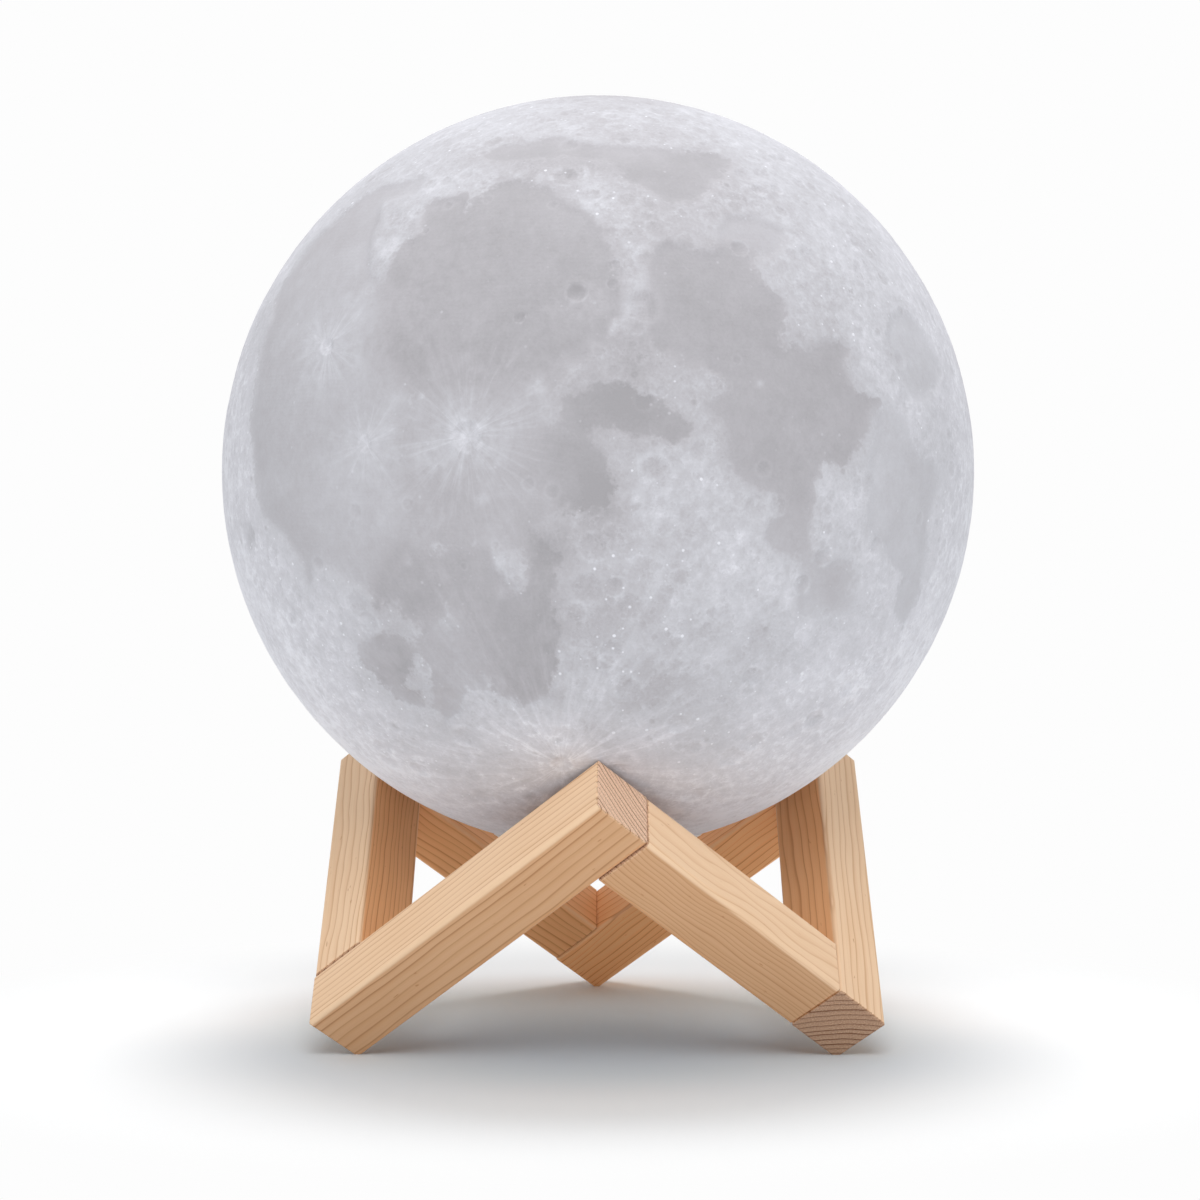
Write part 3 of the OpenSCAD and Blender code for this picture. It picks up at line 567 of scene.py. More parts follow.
def blown_cube(cells):
    """Directions, quads, and the UV corners of each quad on a sheet of eight tiles."""
    across, up = np.meshgrid(np.arange(cells + 1), np.arange(cells + 1), indexing="ij")
    spots, quads, corners = [], [], []
    for side in range(6):
        axis, far = side % 3, side // 3
        face = np.empty((cells + 1, cells + 1, 3), np.int64)
        face[..., axis] = far * cells
        face[..., (axis + 1) % 3], face[..., (axis + 2) % 3] = (across, up) if far else (up, across)
        spots.append(face.reshape(-1, 3))
        at = np.arange((cells + 1) ** 2).reshape(cells + 1, cells + 1) + side * (cells + 1) ** 2
        quads.append(np.stack([at[:-1, :-1], at[1:, :-1], at[1:, 1:], at[:-1, 1:]], -1).reshape(-1, 4))
        tile = np.stack([across, up], -1) / cells * (1 - 2 * TILE_EDGE) + TILE_EDGE
        tile = (tile + (side % SHEET_TILES[0], side // SHEET_TILES[0])) / SHEET_TILES
        corners.append(tile.reshape(-1, 2))
    spots, quads, corners = np.concatenate(spots), np.concatenate(quads), np.concatenate(corners)
    unique, same = np.unique(spots, axis=0, return_inverse=True)
    blown = unit(np.tan((unique / cells - 0.5) * math.pi / 2))
    return blown, same.reshape(-1)[quads], corners[quads]


def squeeze(spots, strength):
    """Draws the points of a ball towards the front without changing any angle."""
    ahead, behind = (1 - spots[:, 1]) * strength ** 2, 1 + spots[:, 1]
    side = 2 * strength / (ahead + behind)
    return np.stack([spots[:, 0] * side, -(ahead - behind) / (ahead + behind), spots[:, 2] * side], -1)


def without_opening(spots, quads, corners, radius):
    """Leaves the quads over the opening out, and draws the rim that is left to a clean circle."""
    middles = spots[quads].mean(1)
    reach = np.hypot(middles[:, 0], middles[:, 1]) * radius
    kept = (reach > OPENING_RADIUS) | (middles[:, 2] > 0)
    quads, corners = quads[kept], corners[kept]
    pairs = np.sort(np.stack([quads, np.roll(quads, -1, 1)], -1).reshape(-1, 2), 1)
    edges, uses = np.unique(pairs, axis=0, return_counts=True)
    rim = np.unique(edges[uses == 1])
    rim = rim[np.argsort(np.arctan2(spots[rim, 1], spots[rim, 0]))]
    flat = OPENING_RADIUS / radius
    spots = spots.copy()
    spots[rim, :2] *= (flat / np.hypot(spots[rim, 0], spots[rim, 1]))[:, None]
    spots[rim, 2] = -math.sqrt(1 - flat ** 2)
    return spots, quads, corners, rim


even, quads, corners = blown_cube(CELLS)
directions, quads, corners, rim = without_opening(squeeze(even, SQUEEZE), quads, corners, GLOBE_RADIUS)
inner_spots, inner_quads, inner_corners, inner_rim = without_opening(
    *blown_cube(INNER_CELLS), SHELL_INSIDE)
print("outside", len(quads), "quads, inside", len(inner_quads), "quads")

# %% [markdown]
# ## Relief and tones
# Each point of the net is given its height, and the numbers that its colours are made from: how far
# inside a sea it lies, how dark that sea is, how bright its patch is, and how near it is to the rim of
# a crater.

# %% Seas and patches at each point
SEA_DEPTH, ROUGH_HIGH, ROUGH_SEA = 0.4, 0.13, 0.03  # mm
HIGHLANDS_SINK = 0.35  # a share of ROUGH_HIGH, so that few bumps reach the globe's full size
COAST_SHAKE = 0.022  # of the globe's radius
NEIGHBOURS_JOIN, PATCH_FALL = 0.8, 1.4  # how sharply two seas join, and how fast a patch fades

shake = np.stack([cloud(directions, 0.16, 4, seed) for seed in (3, 4, 5)], -1)
shaken = unit(directions + shake * COAST_SHAKE)
joined, sea_tone = np.zeros(len(directions)), np.zeros(len(directions))
sea_share = np.full(len(directions), 1e-6)
for level, corners_of_coast in SEAS.values():
    found = degrees_inside(shaken, rows(corners_of_coast))
    joined += np.exp(found * NEIGHBOURS_JOIN)
    share = smooth(found, -2.5, 2.5)
    sea_tone += level * share
    sea_share += share
sea_tone /= sea_share
coast = np.maximum(np.log(joined + 1e-9) / NEIGHBOURS_JOIN, -FAR_OFF)
in_sea = smooth(coast, -0.7, 0.9)

patch = np.zeros(len(directions))
ragged = 1 + 0.45 * cloud(directions, 0.05, 4, 8)
for latitude, longitude, radius, strength in rows(PATCHES):
    away = degrees_from(directions, latitude, longitude) * ragged
    patch += strength * np.exp(-(away / radius) ** 2 * PATCH_FALL)

height = -SEA_DEPTH * in_sea
height += ROUGH_HIGH * (1 - in_sea) * (cloud(directions, 0.09, 5, 11, 0.6) - HIGHLANDS_SINK)
height += ROUGH_SEA * in_sea * cloud(directions, 0.15, 4, 12)
print("sea share of the globe", round(float(in_sea.mean()), 3))

# %% Craters
# Distances from a crater's middle are in its own radius. The small ones are fewer in the seas, which
# are younger than the highlands.
DISH_REACH, WALL_AT, WALL_WIDE = 2.2, 1.05, 0.3
NO_CRATER = 4.0
SMALL_CRATERS, SMALL_RADIUS, SMALL_DEPTH, SMALL_RIM = 700, 0.75, 0.1, 0.05
SEA_SKIPS, SEA_SHRINKS = 0.75, 0.7


def dig(latitude, longitude, radius, depth, rim_height):
    """Sinks a dish with a raised wall into the height, and gives the distance from its middle."""
    away = degrees_from(directions, latitude, longitude) / radius
    near = away < DISH_REACH
    dish = np.where(away < 1, (away ** 2 - 1) * depth, 0)
    wall = rim_height * np.exp(-((away - WALL_AT) / WALL_WIDE) ** 2)
    height[near] += (dish + wall)[near]
    return away


ring = np.full(len(directions), NO_CRATER)
for crater in rows(RINGS):
    ring = np.minimum(ring, dig(*crater))

draw = np.random.default_rng(61)
small = np.full(len(directions), NO_CRATER)
for _ in range(SMALL_CRATERS):
    longitude, latitude = draw.uniform(-180, 180), math.degrees(math.asin(draw.uniform(-1, 1)))
    radius = SMALL_RADIUS * draw.uniform(0.12, 1) ** -0.6
    nearest = int(np.argmax(directions @ on_moon(latitude, longitude)))
    calm = in_sea[nearest] > 0.5
    if calm and draw.uniform() < SEA_SKIPS:
        continue
    shrunk = radius * (SEA_SHRINKS if calm else 1)
    small = np.minimum(small, dig(latitude, longitude, shrunk, SMALL_DEPTH * radius, SMALL_RIM * radius))

height = np.minimum(height, 0.0)
print("height from", round(float(height.min()), 2), "to", round(float(height.max()), 2), "mm")

# %% The printed shell as one closed mesh
# The skin gets a sheet of tiles to be baked on. The inside of the shell has a quarter of it to itself, and
# the band round the opening one small patch.
BAND_PATCH = [[0.96, 0.51], [0.99, 0.51], [0.99, 0.53]]


def zip_edges(first, second, spots):
    """Triangles between two rims, whose points are sorted by their turn round the axis. Each step
    goes on along the rim whose next point comes first."""
    rims, turns = [], []
    for points in (first, second):
        turn = np.arctan2(spots[points, 1], spots[points, 0])
        rims.append(np.append(points, points[0]))
        turns.append(np.append(turn, (turn[0] + 2 * math.pi, np.inf)))
    made, at = [], [0, 0]
    while at != [len(first), len(second)]:
        side = int(turns[0][at[0] + 1] > turns[1][at[1] + 1])
        made.append((rims[0][at[0]], rims[1][at[1]], rims[side][at[side] + 1]))
        at[side] += 1
    return made


outside = directions * (GLOBE_RADIUS + height[:, None])
outside[rim] = directions[rim] * GLOBE_RADIUS
inside = inner_spots * SHELL_INSIDE
spots = np.concatenate([outside, inside])
band = zip_edges(rim, inner_rim + len(outside), spots)
inner_quads, inner_corners = inner_quads[:, ::-1] + len(outside), inner_corners[:, ::-1]
faces = [tuple(face) for face in quads.tolist() + inner_quads.tolist()] + band

shell = bpy.data.meshes.new("moon_skin")
shell.from_pydata(((spots + GLOBE_MIDDLE) * MM).tolist(), [], faces)
sheet_places = np.concatenate([
    corners.reshape(-1, 2), inner_corners.reshape(-1, 2) * (0.25, 0.5) + 0.5,
    np.tile(BAND_PATCH, (len(band), 1))])
bake_sheet = shell.uv_layers.new(name="OFBake")
bake_sheet.data.foreach_set("uv", sheet_places.astype(np.float32).ravel())
shell.validate()
shell.polygons.foreach_set("use_smooth", [True] * len(shell.polygons))

# A number for every point of the shell under each name; the second one is for the shell's inside
for name, (values, rest) in {"coast": (coast, -FAR_OFF), "sea_tone": (sea_tone, 0.5), "patch": (patch, 0.0),
                             "ring": (ring, NO_CRATER), "small": (small, NO_CRATER)}.items():
    layer = shell.attributes.new(name, "FLOAT", "POINT")
    layer.data.foreach_set("value", np.concatenate([values, np.full(len(inside), rest)]).astype(np.float32))

moon_skin = into_scene("moon_skin", shell)
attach(moon_skin, "globe")
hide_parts("moon_shade")
print("moon skin:", len(shell.vertices), "points,", sum(len(f) - 2 for f in faces), "triangles")

# %% [markdown]
# ## The printed tones
# The tones are grey with a touch of blue. The seas are darker and even, the highlands paler and mottled,
# and all of it is speckled with small bright craters. The coast comes from the painted distance, shaken
# a little by fine noise, so it stays crisp when the camera comes close. The print's layers leave a very
# fine relief, and the skin is quite matt.

# %% Clouds and places on the skin
MOON_TONES = [(0.0, srgb(168, 166, 170)), (0.25, srgb(186, 184, 189)), (0.5, srgb(202, 202, 208)),
              (0.75, srgb(217, 217, 224)), (1.0, srgb(236, 237, 244))]

moon = Finish("moon_print")
place = moon.millimetres(GLOBE_MIDDLE * MM)
direction = moon.vector("NORMALIZE", place)
broad, fine = moon.noise(place, 9.0, 4, 0.55), moon.noise(place, 1.9, 5, 0.62)
crumbs, grain = moon.noise(place, 0.8, 2), moon.noise(place, 0.55, 3, 0.6)


def mottle(broad_share, fine_share, grain_share=0.0):
    """Clouds of three sizes round 0, each as strong as its share."""
    return (broad - 0.5) * broad_share + (fine - 0.5) * fine_share + (grain - 0.5) * grain_share


def painted(name):
    return moon.add("Attribute", {"attribute_name": name}, out="Fac")


# %% Speckles, craters and rays
ONE_RADIAN, FULL_TURN = 57.3, 6.3  # degrees, and radians

# A shift of the place in mm, the size of a cell in mm, the share of the cells that have a dot, the
# radius of the dot, how much brighter it is (darker, below 0), and how much less of that in a sea
SPECKLES = [((0, 0, 0), 3.1, 0.5, 0.13, 0.9, 0.7), ((0, 0, 0), 1.5, 0.3, 0.2, 0.6, 0.5),
            ((7, 3, 5), 3.4, 0.4, 0.24, -0.16, -0.12)]


def speckles(shift, size, share, radius):
    """Small round dots at random places, of random brightness."""
    lot, away = moon.cells(moon.vector("ADD", place, shift), size, X)
    return away.fall(radius * 0.4, radius) * lot.rise(1 - share, 1.0)


def crater_tone(away, rim, floor, brighter, darker):
    """Brighter on the rim and darker on the floor, where away is in the crater's own radius."""
    return away.between(*rim) * brighter - away.fall(*floor) * darker


def pits(place, size, widest):
    """The tones of small craters of many sizes at random places."""
    lot, away = moon.cells(place, size, Y)
    return crater_tone(away / (lot * lot * widest + 0.07), (0.65, 0.95, 1.0, 1.35), (0.4, 0.9), 1.0, 0.8)


def rays(latitude, longitude, reach, count, strength):
    """Thin bright streaks that run out from one crater."""
    middle = Vector(on_moon(latitude, longitude))
    east = Vector(Z).cross(middle).normalized()
    x, y = moon.dot(direction, tuple(east)), moon.dot(direction, tuple(middle.cross(east)))
    away = (x ** 2 + y ** 2) ** 0.5 * ONE_RADIAN
    turn = moon.maths("ARCTAN2", x, y)
    round_x, round_y = (moon.maths(wave, turn) * count / FULL_TURN for wave in ("SINE", "COSINE"))
    streak = moon.noise(moon.join(round_x, round_y, away * 0.05 + latitude), 1.0, 5, 0.7)
    broken = moon.noise(moon.join(round_x * 2.2, round_y * 2.2, away * 0.35), 1.0, 2)
    this_side = moon.dot(direction, tuple(middle)).rise(0.0, 0.2)
    return (streak.rise(0.42, 0.68) * broken.rise(0.3, 0.6) * away.fall(reach * 0.08, reach)
            * this_side * strength)


# %% [markdown]
# A coast is sharp in some places and soft in others, so it is made twice and mixed by a slow cloud. The
# highlands carry painted shade to the north, which offsets the top lamp, and painted light to the south and
# round the edge of the globe.

# %% Seas against highlands
HIGH_TONE, NORTH_PAINTED_SHADE, SOUTH_PAINTED_LIGHT, EDGE_PAINTED_LIGHT = 0.4, 0.33, 0.1, 0.6

coast_away = painted("coast")
sharp_coast = (coast_away + mottle(4, 3.4) + (crumbs - 0.5)).rise(-0.4, 0.5)
soft_coast = (coast_away + mottle(9, 4)).rise(-3.6, 2.6)
crisp = moon.noise(place, 16.0, 2).rise(0.4, 0.6) * 0.5 + 0.34
sea = sharp_coast * crisp + soft_coast * (1 - crisp)

facing_front = (0 - moon.dot(direction, Y)).most(0.25)
north = moon.dot(direction, Z)
jagged = moon.vector("ADD", place, moon.join(fine * 3, crumbs * 2, grain))
pitted = pits(jagged, 4.6, 0.5) * 0.08 + pits(jagged, 1.9, 0.45) * 0.06
veins = abs(moon.noise(place, 3.4, 3, 0.6) - 0.5).fall(0.0, 0.06) * fine.rise(0.45, 0.65)

low_tone = painted("sea_tone") + mottle(0.28, 0.22, 0.16) + pitted * 0.2
# Painted shade to the north, painted light to the south and round the edge of the globe
high_tone = HIGH_TONE - north.most(0.0) * NORTH_PAINTED_SHADE + (0 - north).most(0.0) * SOUTH_PAINTED_LIGHT
high_tone = high_tone + (1 - facing_front) * EDGE_PAINTED_LIGHT + mottle(0.5, 0.54, 0.32)
high_tone = high_tone + pitted + veins * 0.09

# %% All the tones together
tone = low_tone * sea + high_tone * (1 - sea)
# The patches: old dust, and two of painted shade
tone = tone + painted("patch") * (0.8 + (fine - 0.5) * 1.8)
for *dots, brighter, less_in_sea in SPECKLES:
    tone = tone + speckles(*dots) * (brighter - sea * less_in_sea)
for system in RAYS:
    tone = tone + rays(*system)
near_ring = painted("ring") + (fine - 0.5) * 0.3
near_small = painted("small") + (grain - 0.5) * 0.3
tone = tone + crater_tone(near_ring, (0.8, 1.0, 1.02, 1.25), (0.7, 0.95), fine.rise(0.38, 0.6) * 0.1, 0.05)
tone = tone + crater_tone(near_small, (0.7, 0.95, 1.05, 1.4), (0.5, 0.9), 0.05, 0.03)

# %% The skin's colour and relief
LAYER, LAYER_DEPTH, TONE_DEPTH = 0.12, 0.006, 0.14  # mm

layers = moon.maths("SINE", moon.dot(place, Z) / LAYER) + moon.noise(place, 0.3, 2) * 1.5
normal = moon.bump(tone * 0.8 + grain * 0.5, TONE_DEPTH)
normal = moon.bump(layers, LAYER_DEPTH, under=normal)
moon.dress(["moon_shade"], moon.ramp(tone, MOON_TONES), 0.72 + (fine - 0.5) * 0.1, normal,
           Specular_IOR_Level=0.22)
moon_skin.data.materials.append(moon.material)
print("moon print has", len(moon.tree.nodes), "shader nodes")

# %% [markdown]
# ## Pine
# Each bar is sawn from a log, so its grain is a slice through rings that grew round a pith. A solid
# texture does the same: it takes the distance from a pith that runs along the bar, bends it a little and
# repeats it once a year. The long faces then show lines, and the sawn ends show the arcs of the rings,
# without any picture. Each bar gets its own pith, its own ring width and its own bend.

# %% The directions of the bars
# The six bars lie along the edges of a cube that stands on one corner.
CUBE_TILT = Euler((math.radians(45), -math.atan(1 / math.sqrt(2)), math.radians(-150)), "XYZ").to_matrix()
ALONG_U, ALONG_V, ALONG_W = (CUBE_TILT @ Vector(edge) for edge in (X, Y, Z))
BAR_HALF = 6.5


def bar_frame(piece, along):
    """The middle of a bar, and its half length in millimetres, from its own mesh."""
    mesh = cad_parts[piece].data
    spots = np.empty(len(mesh.vertices) * 3)
    mesh.vertices.foreach_get("co", spots)
    spots = spots.reshape(-1, 3)
    middle, half = Vector((0, 0, 0)), 0
    for edge in (ALONG_U, ALONG_V, ALONG_W):
        reach = spots @ np.array(edge)
        middle += edge * float((reach.min() + reach.max()) / 2)
        if edge is along:
            half = float(np.ptp(reach) / 2) / MM
    return middle, half


# %% [markdown]
# The planed faces that look outwards and up are painted paler, as painted light, and the inward ones a deep
# orange, as painted shade. A sawn end is fuzzy: its cut fibres stand up as dots, and the hard late wood of
# each year shows as a dark line.

# %% Wood from a pith and a ring width
# Painted light and shade: faces that look outwards and up take the pale tone, inward ones the deep one
INWARD_PAINTED_SHADE, SIDEWAYS_PAINTED_HALF_LIGHT, OUTWARD_PAINTED_LIGHT = srgb(234, 176, 124), srgb(224, 181, 141), srgb(248, 213, 177)
LINE_TINT, DEEP_LINE_TINT, END_LINE_TINT = (0.84, 0.70, 0.55), (0.62, 0.44, 0.28), (0.32, 0.2, 0.14)
FIBRE_TINT, CLOUD_TINT, FUZZ_TINT = (0.86, 0.78, 0.68), (0.93, 0.87, 0.8), (0.66, 0.54, 0.46)
RESIN, RUBBED_EDGE_AND_HIGHLIGHT, TORN = srgb(184, 120, 68), srgb(244, 214, 180), srgb(128, 74, 40)
# Where in a year the late wood and the warm tone before it start, are full, and end
LATE_WOOD, WARM_WOOD = (0.68, 0.88, 0.88, 0.97), (0.3, 0.85, 0.86, 1.0)
LOG_BEND, LOG_RIPPLE, UNEVEN_YEARS = 9, 1.4, 1.8  # mm for a wave of 1, and a share of a year
PAINTED_LIGHT_RISE = Vector((0, 0, 0.8))


def pine(piece, along, sides, pith, year_width, seed, end_tone, tint=1.0, wave=0.5, line=0.8):
    """Pine for one bar. pith is the log's middle in millimetres from the bar's own axis, and wave
    tells how far the log bends. tint makes the whole bar brighter, as painted light."""
    middle, half = bar_frame(piece, along)
    wood = Finish("pine_" + piece)
    place, facing = wood.millimetres(middle), wood.facing()
    a, b, c = (wood.dot(place, tuple(edge)) for edge in (along, *sides))

    def clouds(stretch, across, detail, roughness, slide=0.0, lift=seed):
        """Noise that is long along the grain; slide and lift move it along and across."""
        spot = wood.join(a * stretch + slide, b * across, c * across + lift)
        return wood.noise(spot, 1.0, detail, roughness)

    # The years: a slow bend of the whole log, and a small ripple of each line
    bend = clouds(0.02, 0.04, 2, 0.5, seed, 0.0) - 0.5
    ripple = clouds(0.07, 0.2, 2, 0.5, seed, 0.0) - 0.5
    radius = ((b - pith[0]) ** 2 + (c - pith[1]) ** 2) ** 0.5
    radius = radius + bend * wave * LOG_BEND + ripple * wave * LOG_RIPPLE
    uneven = wood.noise(wood.join(radius * 0.3, seed, 0.0), 1.0, 2) - 0.5
    years = radius / year_width + uneven * UNEVEN_YEARS
    year, count = wood.maths("FRACT", years), wood.maths("FLOOR", years)
    late, warm = year.between(*LATE_WOOD), year.between(*WARM_WOOD)
    strong = wood.noise(wood.join(count * 7.31, seed + 3.0, 0.0), 1.0, 1).rise(0.25, 0.7)

    # The long faces: painted light outwards and painted shade inwards, with lines, fibres and soft clouds
    fibre = clouds(0.06, 2.6, 5, 0.65)
    outward = Vector((middle.x, middle.y, 0)).normalized() + PAINTED_LIGHT_RISE
    painted_light = wood.dot(facing, tuple(outward)).rise(-0.3, 1.05)
    line_share = (late * (strong * 0.65 + 0.35) * line).least(1.0) * (1 - painted_light * 0.25)
    side_tone = wood.ramp(painted_light, [(0.0, INWARD_PAINTED_SHADE), (0.42, SIDEWAYS_PAINTED_HALF_LIGHT), (0.95, OUTWARD_PAINTED_LIGHT)])
    side_tone = wood.tint(warm * 0.3, side_tone, LINE_TINT)
    side_tone = wood.tint(line_share, side_tone, DEEP_LINE_TINT)
    side_tone = wood.tint(fibre.rise(0.4, 0.75) * 0.3, side_tone, FIBRE_TINT)
    broad_cloud = clouds(0.03, 0.12, 3, 0.5, lift=seed * 1.7)
    side_tone = wood.tint(broad_cloud.rise(0.35, 0.7) * 0.5, side_tone, CLOUD_TINT)

    # The sawn ends: the dots of cut fibres and the arcs of the years
    fuzz = clouds(2.0, 3.4, 3, 0.75)
    end_line = (late + warm * 0.25) * (strong * 0.6 + 0.4) * (0.6 + fuzz * 0.75)
    end_tone = wood.tint(fuzz.rise(0.36, 0.6) * 0.75, end_tone, FUZZ_TINT)
    end_tone = wood.tint(end_line.least(0.95), end_tone, END_LINE_TINT)
    ends = abs(wood.dot(facing, tuple(along))).rise(0.6, 0.85)
    long_faces = 1 - ends
    tone = wood.mix(ends, side_tone, end_tone)

    # Small resin flecks, the long edges a little paler as wear and as a painted highlight, and torn fibres
    # right at the sawn ends
    fleck = clouds(0.32, 1.3, 2, 0.4, seed * 5.0, 0.0).rise(0.75, 0.79)
    tone = wood.mix(fleck * 0.6 * long_faces, tone, RESIN)
    edge = abs(b).least(abs(c)).rise(BAR_HALF - 0.9, BAR_HALF - 0.3)
    tone = wood.mix(edge * 0.25 * long_faces, tone, RUBBED_EDGE_AND_HIGHLIGHT)
    torn = abs(a) + (clouds(0.2, 2.4, 3, 0.7) - 0.5) * 0.9
    tone = wood.mix(torn.rise(half - 0.35, half - 0.05) * 0.7 * long_faces, tone, TORN)
    # Painted light: tint makes the whole bar brighter
    tone = wood.tint(1.0, tone, (tint, tint, tint))

    hair = clouds(0.8, 9.0, 2, 0.6)
    height = fibre * 0.4 + hair * 0.25 - late * 0.1 + ends * (fuzz * 1.5 - late * 0.4)
    wood.dress([piece], tone, 0.5 + fibre * 0.14 + ends * 0.25, wood.bump(height, 0.08),
               IOR=1.45, Specular_IOR_Level=0.35)
    print(piece, "half length", round(half, 1), "mm, years", year_width, "mm wide")


# %% The six bars
# The front left bar's sawn ends take a paler tone than the other ends, as painted light
LIT_FRONT_END, FOOT_END = srgb(252, 219, 192), srgb(214, 178, 150)
pine("bar_front_left", ALONG_V, (ALONG_U, ALONG_W), (-50, 62), 1.1, 1.3, LIT_FRONT_END, wave=0.25)
pine("bar_front_right", ALONG_U, (ALONG_V, ALONG_W), (43, 13), 0.95, 4.1, FOOT_END, wave=0.7, line=0.6)
pine("bar_right", ALONG_W, (ALONG_U, ALONG_V), (-29, -29), 1.25, 7.9, FOOT_END, wave=0.35)
# The back bars are made brighter by tint, as painted light
pine("bar_back_right", ALONG_V, (ALONG_U, ALONG_W), (26, -24), 1.3, 11.4, FOOT_END, tint=1.3)
pine("bar_back_left", ALONG_U, (ALONG_V, ALONG_W), (-22, -26), 1.25, 15.2, FOOT_END, tint=1.18)
pine("bar_left", ALONG_W, (ALONG_U, ALONG_V), (46, -20), 0.95, 19.6, FOOT_END)

# %% [markdown]
# ## The parts of the light unit
# Most of the lamp's inside is moulded plastic, plated steel or printed circuit board. Each kind gets one
# small function, so a new piece only names its colour. Moulded plastic has a fine spark texture from its
# steel mould, a little cloudiness and some dust; metal shows the marks of the tool that finished it.

# %% Moulded and plated finishes


def times(colour, share):
    return tuple(min(1.0, part * share) for part in colour)


def moulded(pieces, colour, dusty, rough=0.45, spark=0.35, level=0.4):
    """Moulded plastic: clouds of tone, a fine spark texture, and dust that gathers in patches."""
    made = Finish("moulded_" + pieces[0])
    place = made.millimetres()
    clouds = made.noise(place, 14.0, 4, 0.55)
    dust = made.noise(place, 2.6, 5, 0.65).rise(0.55, 0.8)
    tone = made.mix(clouds.rise(0.3, 0.7) * 0.5, colour, dusty)
    tone = made.mix(dust * 0.35, tone, dusty)
    fine = made.noise(place, spark, 3, 0.6)
    made.dress(pieces, tone, rough + dust * 0.2 + fine * 0.06, made.bump(fine, 0.02),
               IOR=1.46, Specular_IOR_Level=level)


def plated(pieces, colour, rough=0.28, turned=False):
    """Plated or brushed metal. The marks run round the lamp's axis on a turned part."""
    made = Finish("plated_" + pieces[0])
    place = made.millimetres()
    marks = made.noise(place, 0.5, 4, 0.6)
    if turned:
        x, y = made.dot(place, X), made.dot(place, Y)
        reach = (x ** 2 + y ** 2) ** 0.5
        marks = made.noise(made.join(reach * 14.0, x * 0.12, y * 0.12), 1.0, 4, 0.65)
    clouds = made.noise(place, 3.0, 4, 0.6)
    tone = made.mix(clouds.rise(0.35, 0.7) * 0.6, colour, times(colour, 0.8))
    tone = made.mix(marks.rise(0.4, 0.75) * 0.35, tone, times(colour, 1.2))
    made.dress(pieces, tone, rough + marks * 0.16 + clouds * 0.08, made.bump(marks, 0.01), Metallic=1.0)


# %% Boards and insulation
TRACE_SIZE = 1 / 0.28  # mm


def board(piece, colour, trace, rough=0.35):
    """Solder resist over copper: blocks of a slightly lighter tone where copper lies under it."""
    made = Finish("board_" + piece)
    place = made.millimetres()
    lot, away = made.cells(place, TRACE_SIZE, X, 0.7, distance="CHEBYCHEV")
    copper = lot.rise(0.45, 0.5) * away.fall(0.42, 0.46)
    clouds = made.noise(place, 5.0, 3, 0.5)
    tone = made.mix(copper * 0.55, colour, trace)
    tone = made.mix(clouds * 0.25, tone, times(colour, 0.75))
    fine = made.noise(place, 0.4, 3, 0.6)
    made.dress([piece], tone, rough + fine * 0.15, made.bump(copper + fine * 0.15, 0.03, 0.6),
               IOR=1.5, Coat_Weight=0.3, Coat_Roughness=0.2)


def insulation(piece, colour):
    """The soft, slightly dusty insulation of a thin wire."""
    made = Finish("insulation_" + piece)
    place = made.millimetres()
    clouds = made.noise(place, 2.0, 4, 0.6)
    tone = made.mix(clouds.rise(0.4, 0.75) * 0.5, colour, tuple(0.6 * part + 0.12 for part in colour))
    made.dress([piece], tone, 0.45 + clouds * 0.2, made.bump(made.noise(place, 0.3, 3), 0.01),
               IOR=1.5, Specular_IOR_Level=0.4)


print("finishes for the light unit ready")

# %% [markdown]
# ## Dressing the light unit
# The cup and the tower are white mouldings, so that no dark shape shows through the shell when the lamp
# is lit. The ring round the button is turned steel with circular brushing.

# %% Mouldings, metals, boards and wires
moulded(["base_cup"], srgb(243, 242, 239), srgb(226, 223, 216), 0.42)
moulded(["light_tower", "lead_sockets"], srgb(240, 239, 235), srgb(219, 215, 206), 0.5)
moulded(["push_button"], srgb(247, 247, 246), srgb(232, 230, 226), 0.28, spark=0.6, level=0.5)
moulded(["switch_plunger", "board_parts", "inlet_tongue"], srgb(44, 44, 47), srgb(82, 80, 78), 0.4)
moulded(["switch_body"], srgb(62, 62, 66), srgb(98, 96, 94), 0.5)
plated(["trim_ring"], srgb(202, 205, 210), 0.24, turned=True)
plated(["inlet_shell"], srgb(212, 214, 217), 0.2)
plated(["tower_screws", "light_board_screws"], srgb(206, 207, 210), 0.26)
board("control_board", srgb(26, 98, 58), srgb(50, 134, 84))
board("light_board", srgb(233, 234, 234), srgb(246, 246, 244), 0.3)
insulation("battery_leads", srgb(176, 34, 28))
insulation("light_leads", srgb(222, 219, 212))
print("mouldings, metals, boards and wires dressed")

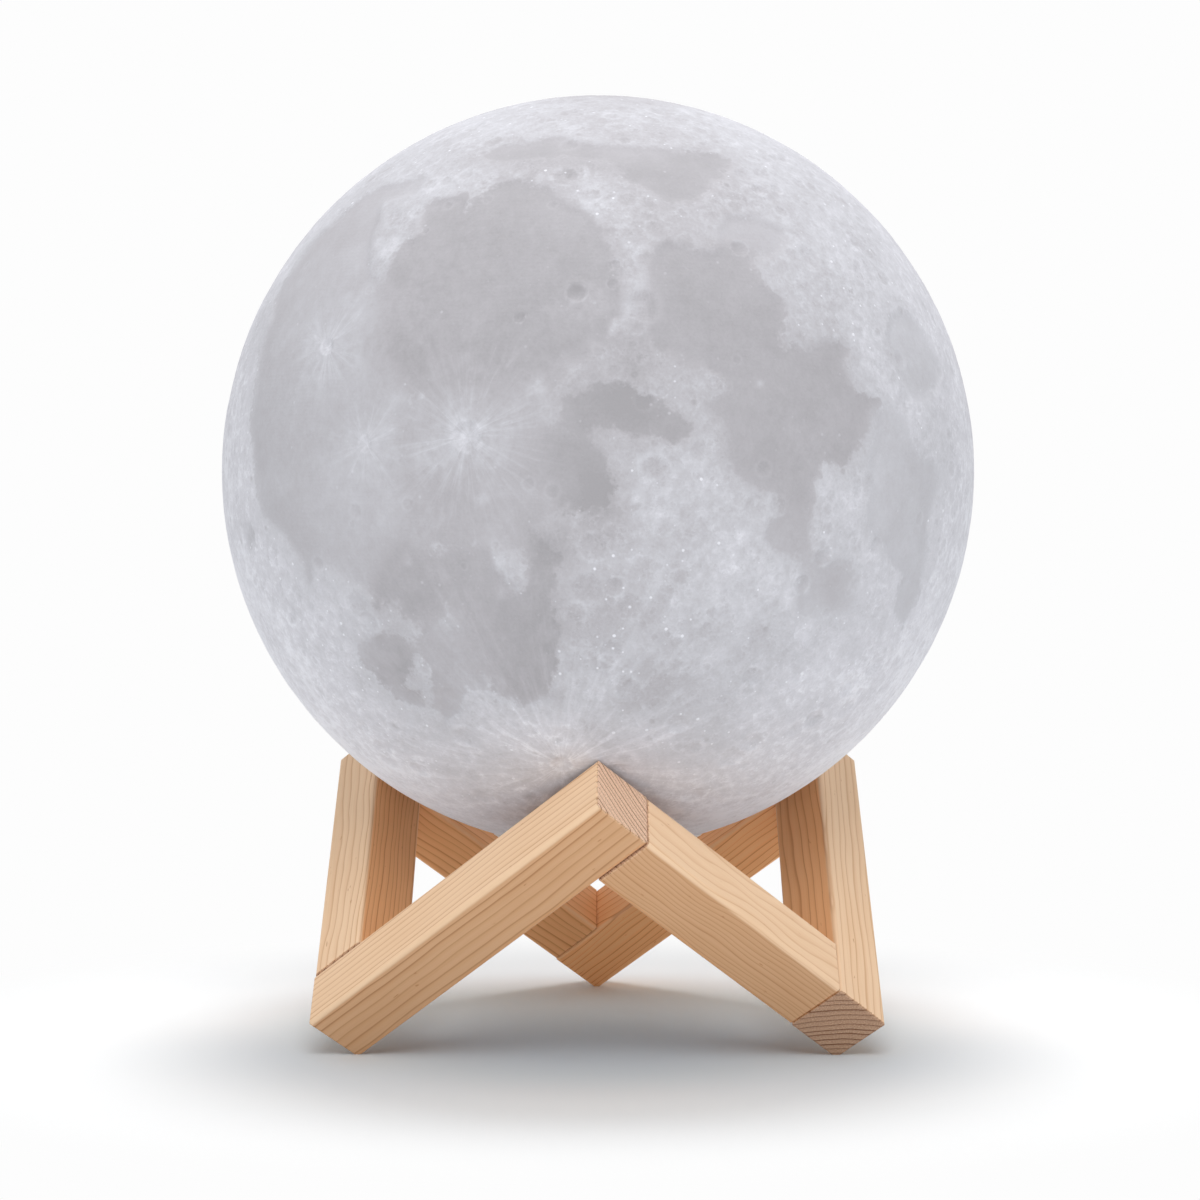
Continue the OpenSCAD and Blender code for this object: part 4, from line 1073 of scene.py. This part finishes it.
# %% The beech dowels
# Turned beech is pale and pinkish, with short dark flecks along its grain.
beech = Finish("beech_dowels")
place = beech.millimetres()
flecks = beech.noise(beech.vector("MULTIPLY", place, (1.6, 1.6, 0.7)), 1.0, 5, 0.65)
rows = beech.noise(place, 0.45, 3, 0.6)
tone = beech.mix(flecks.rise(0.35, 0.7), srgb(222, 184, 146), srgb(196, 152, 112))
tone = beech.mix(rows.rise(0.6, 0.75) * 0.4, tone, srgb(160, 112, 76))
beech.dress(["dowels"], tone, 0.6 + flecks * 0.12, beech.bump(rows + flecks, 0.04),
            IOR=1.45, Specular_IOR_Level=0.3)

# %% The battery's wrap
# The cell's plastic wrap is shrunk on, so it is glossy, with faint ripples round it.
wrap = Finish("cell_wrap")
place = wrap.millimetres()
ripple = wrap.noise(wrap.vector("MULTIPLY", place, (0.2, 0.2, 1.1)), 1.0, 3, 0.5)
scuff = wrap.noise(place, 1.4, 5, 0.7).rise(0.58, 0.8)
tone = wrap.mix(ripple.rise(0.3, 0.7) * 0.5, srgb(38, 112, 178), srgb(24, 84, 146))
tone = wrap.mix(scuff * 0.3, tone, srgb(112, 156, 196))
wrap.dress(["battery_cell"], tone, 0.2 + scuff * 0.25, wrap.bump(ripple, 0.12), IOR=1.5, Coat_Weight=0.4)

# %% The light pipe and the chips
# The pipe is clear polished plastic. The chips are pale yellow gel in a white frame.
pipe = Finish("clear_pipe")
cloudy = pipe.noise(pipe.millimetres(), 1.2, 4, 0.6)
tone = pipe.mix(cloudy, srgb(236, 240, 243), srgb(214, 222, 228))
pipe.dress(["light_pipe"], tone, 0.08 + cloudy * 0.1, pipe.bump(cloudy, 0.01, 0.4),
           IOR=1.49, Transmission_Weight=0.85)

for piece in ("light_chips", "charge_light"):
    gel = Finish("gel_" + piece)
    place = gel.millimetres()
    dots = gel.noise(place, 0.25, 3, 0.6)
    tone = gel.mix(gel.noise(place, 1.0, 3, 0.5).rise(0.35, 0.65), srgb(238, 219, 108), srgb(229, 202, 84))
    tone = gel.mix(dots.rise(0.5, 0.7) * 0.4, tone, srgb(246, 236, 160))
    gel.dress([piece], tone, 0.25 + dots * 0.15, gel.bump(dots, 0.02), IOR=1.45, Specular_IOR_Level=0.5)
print("dressed", len(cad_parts), "pieces")

# %% [markdown]
# ## The end
# The dressed lamp has to stay inside the box of the CAD model.

# %% Finish
bpy.context.view_layer.update()
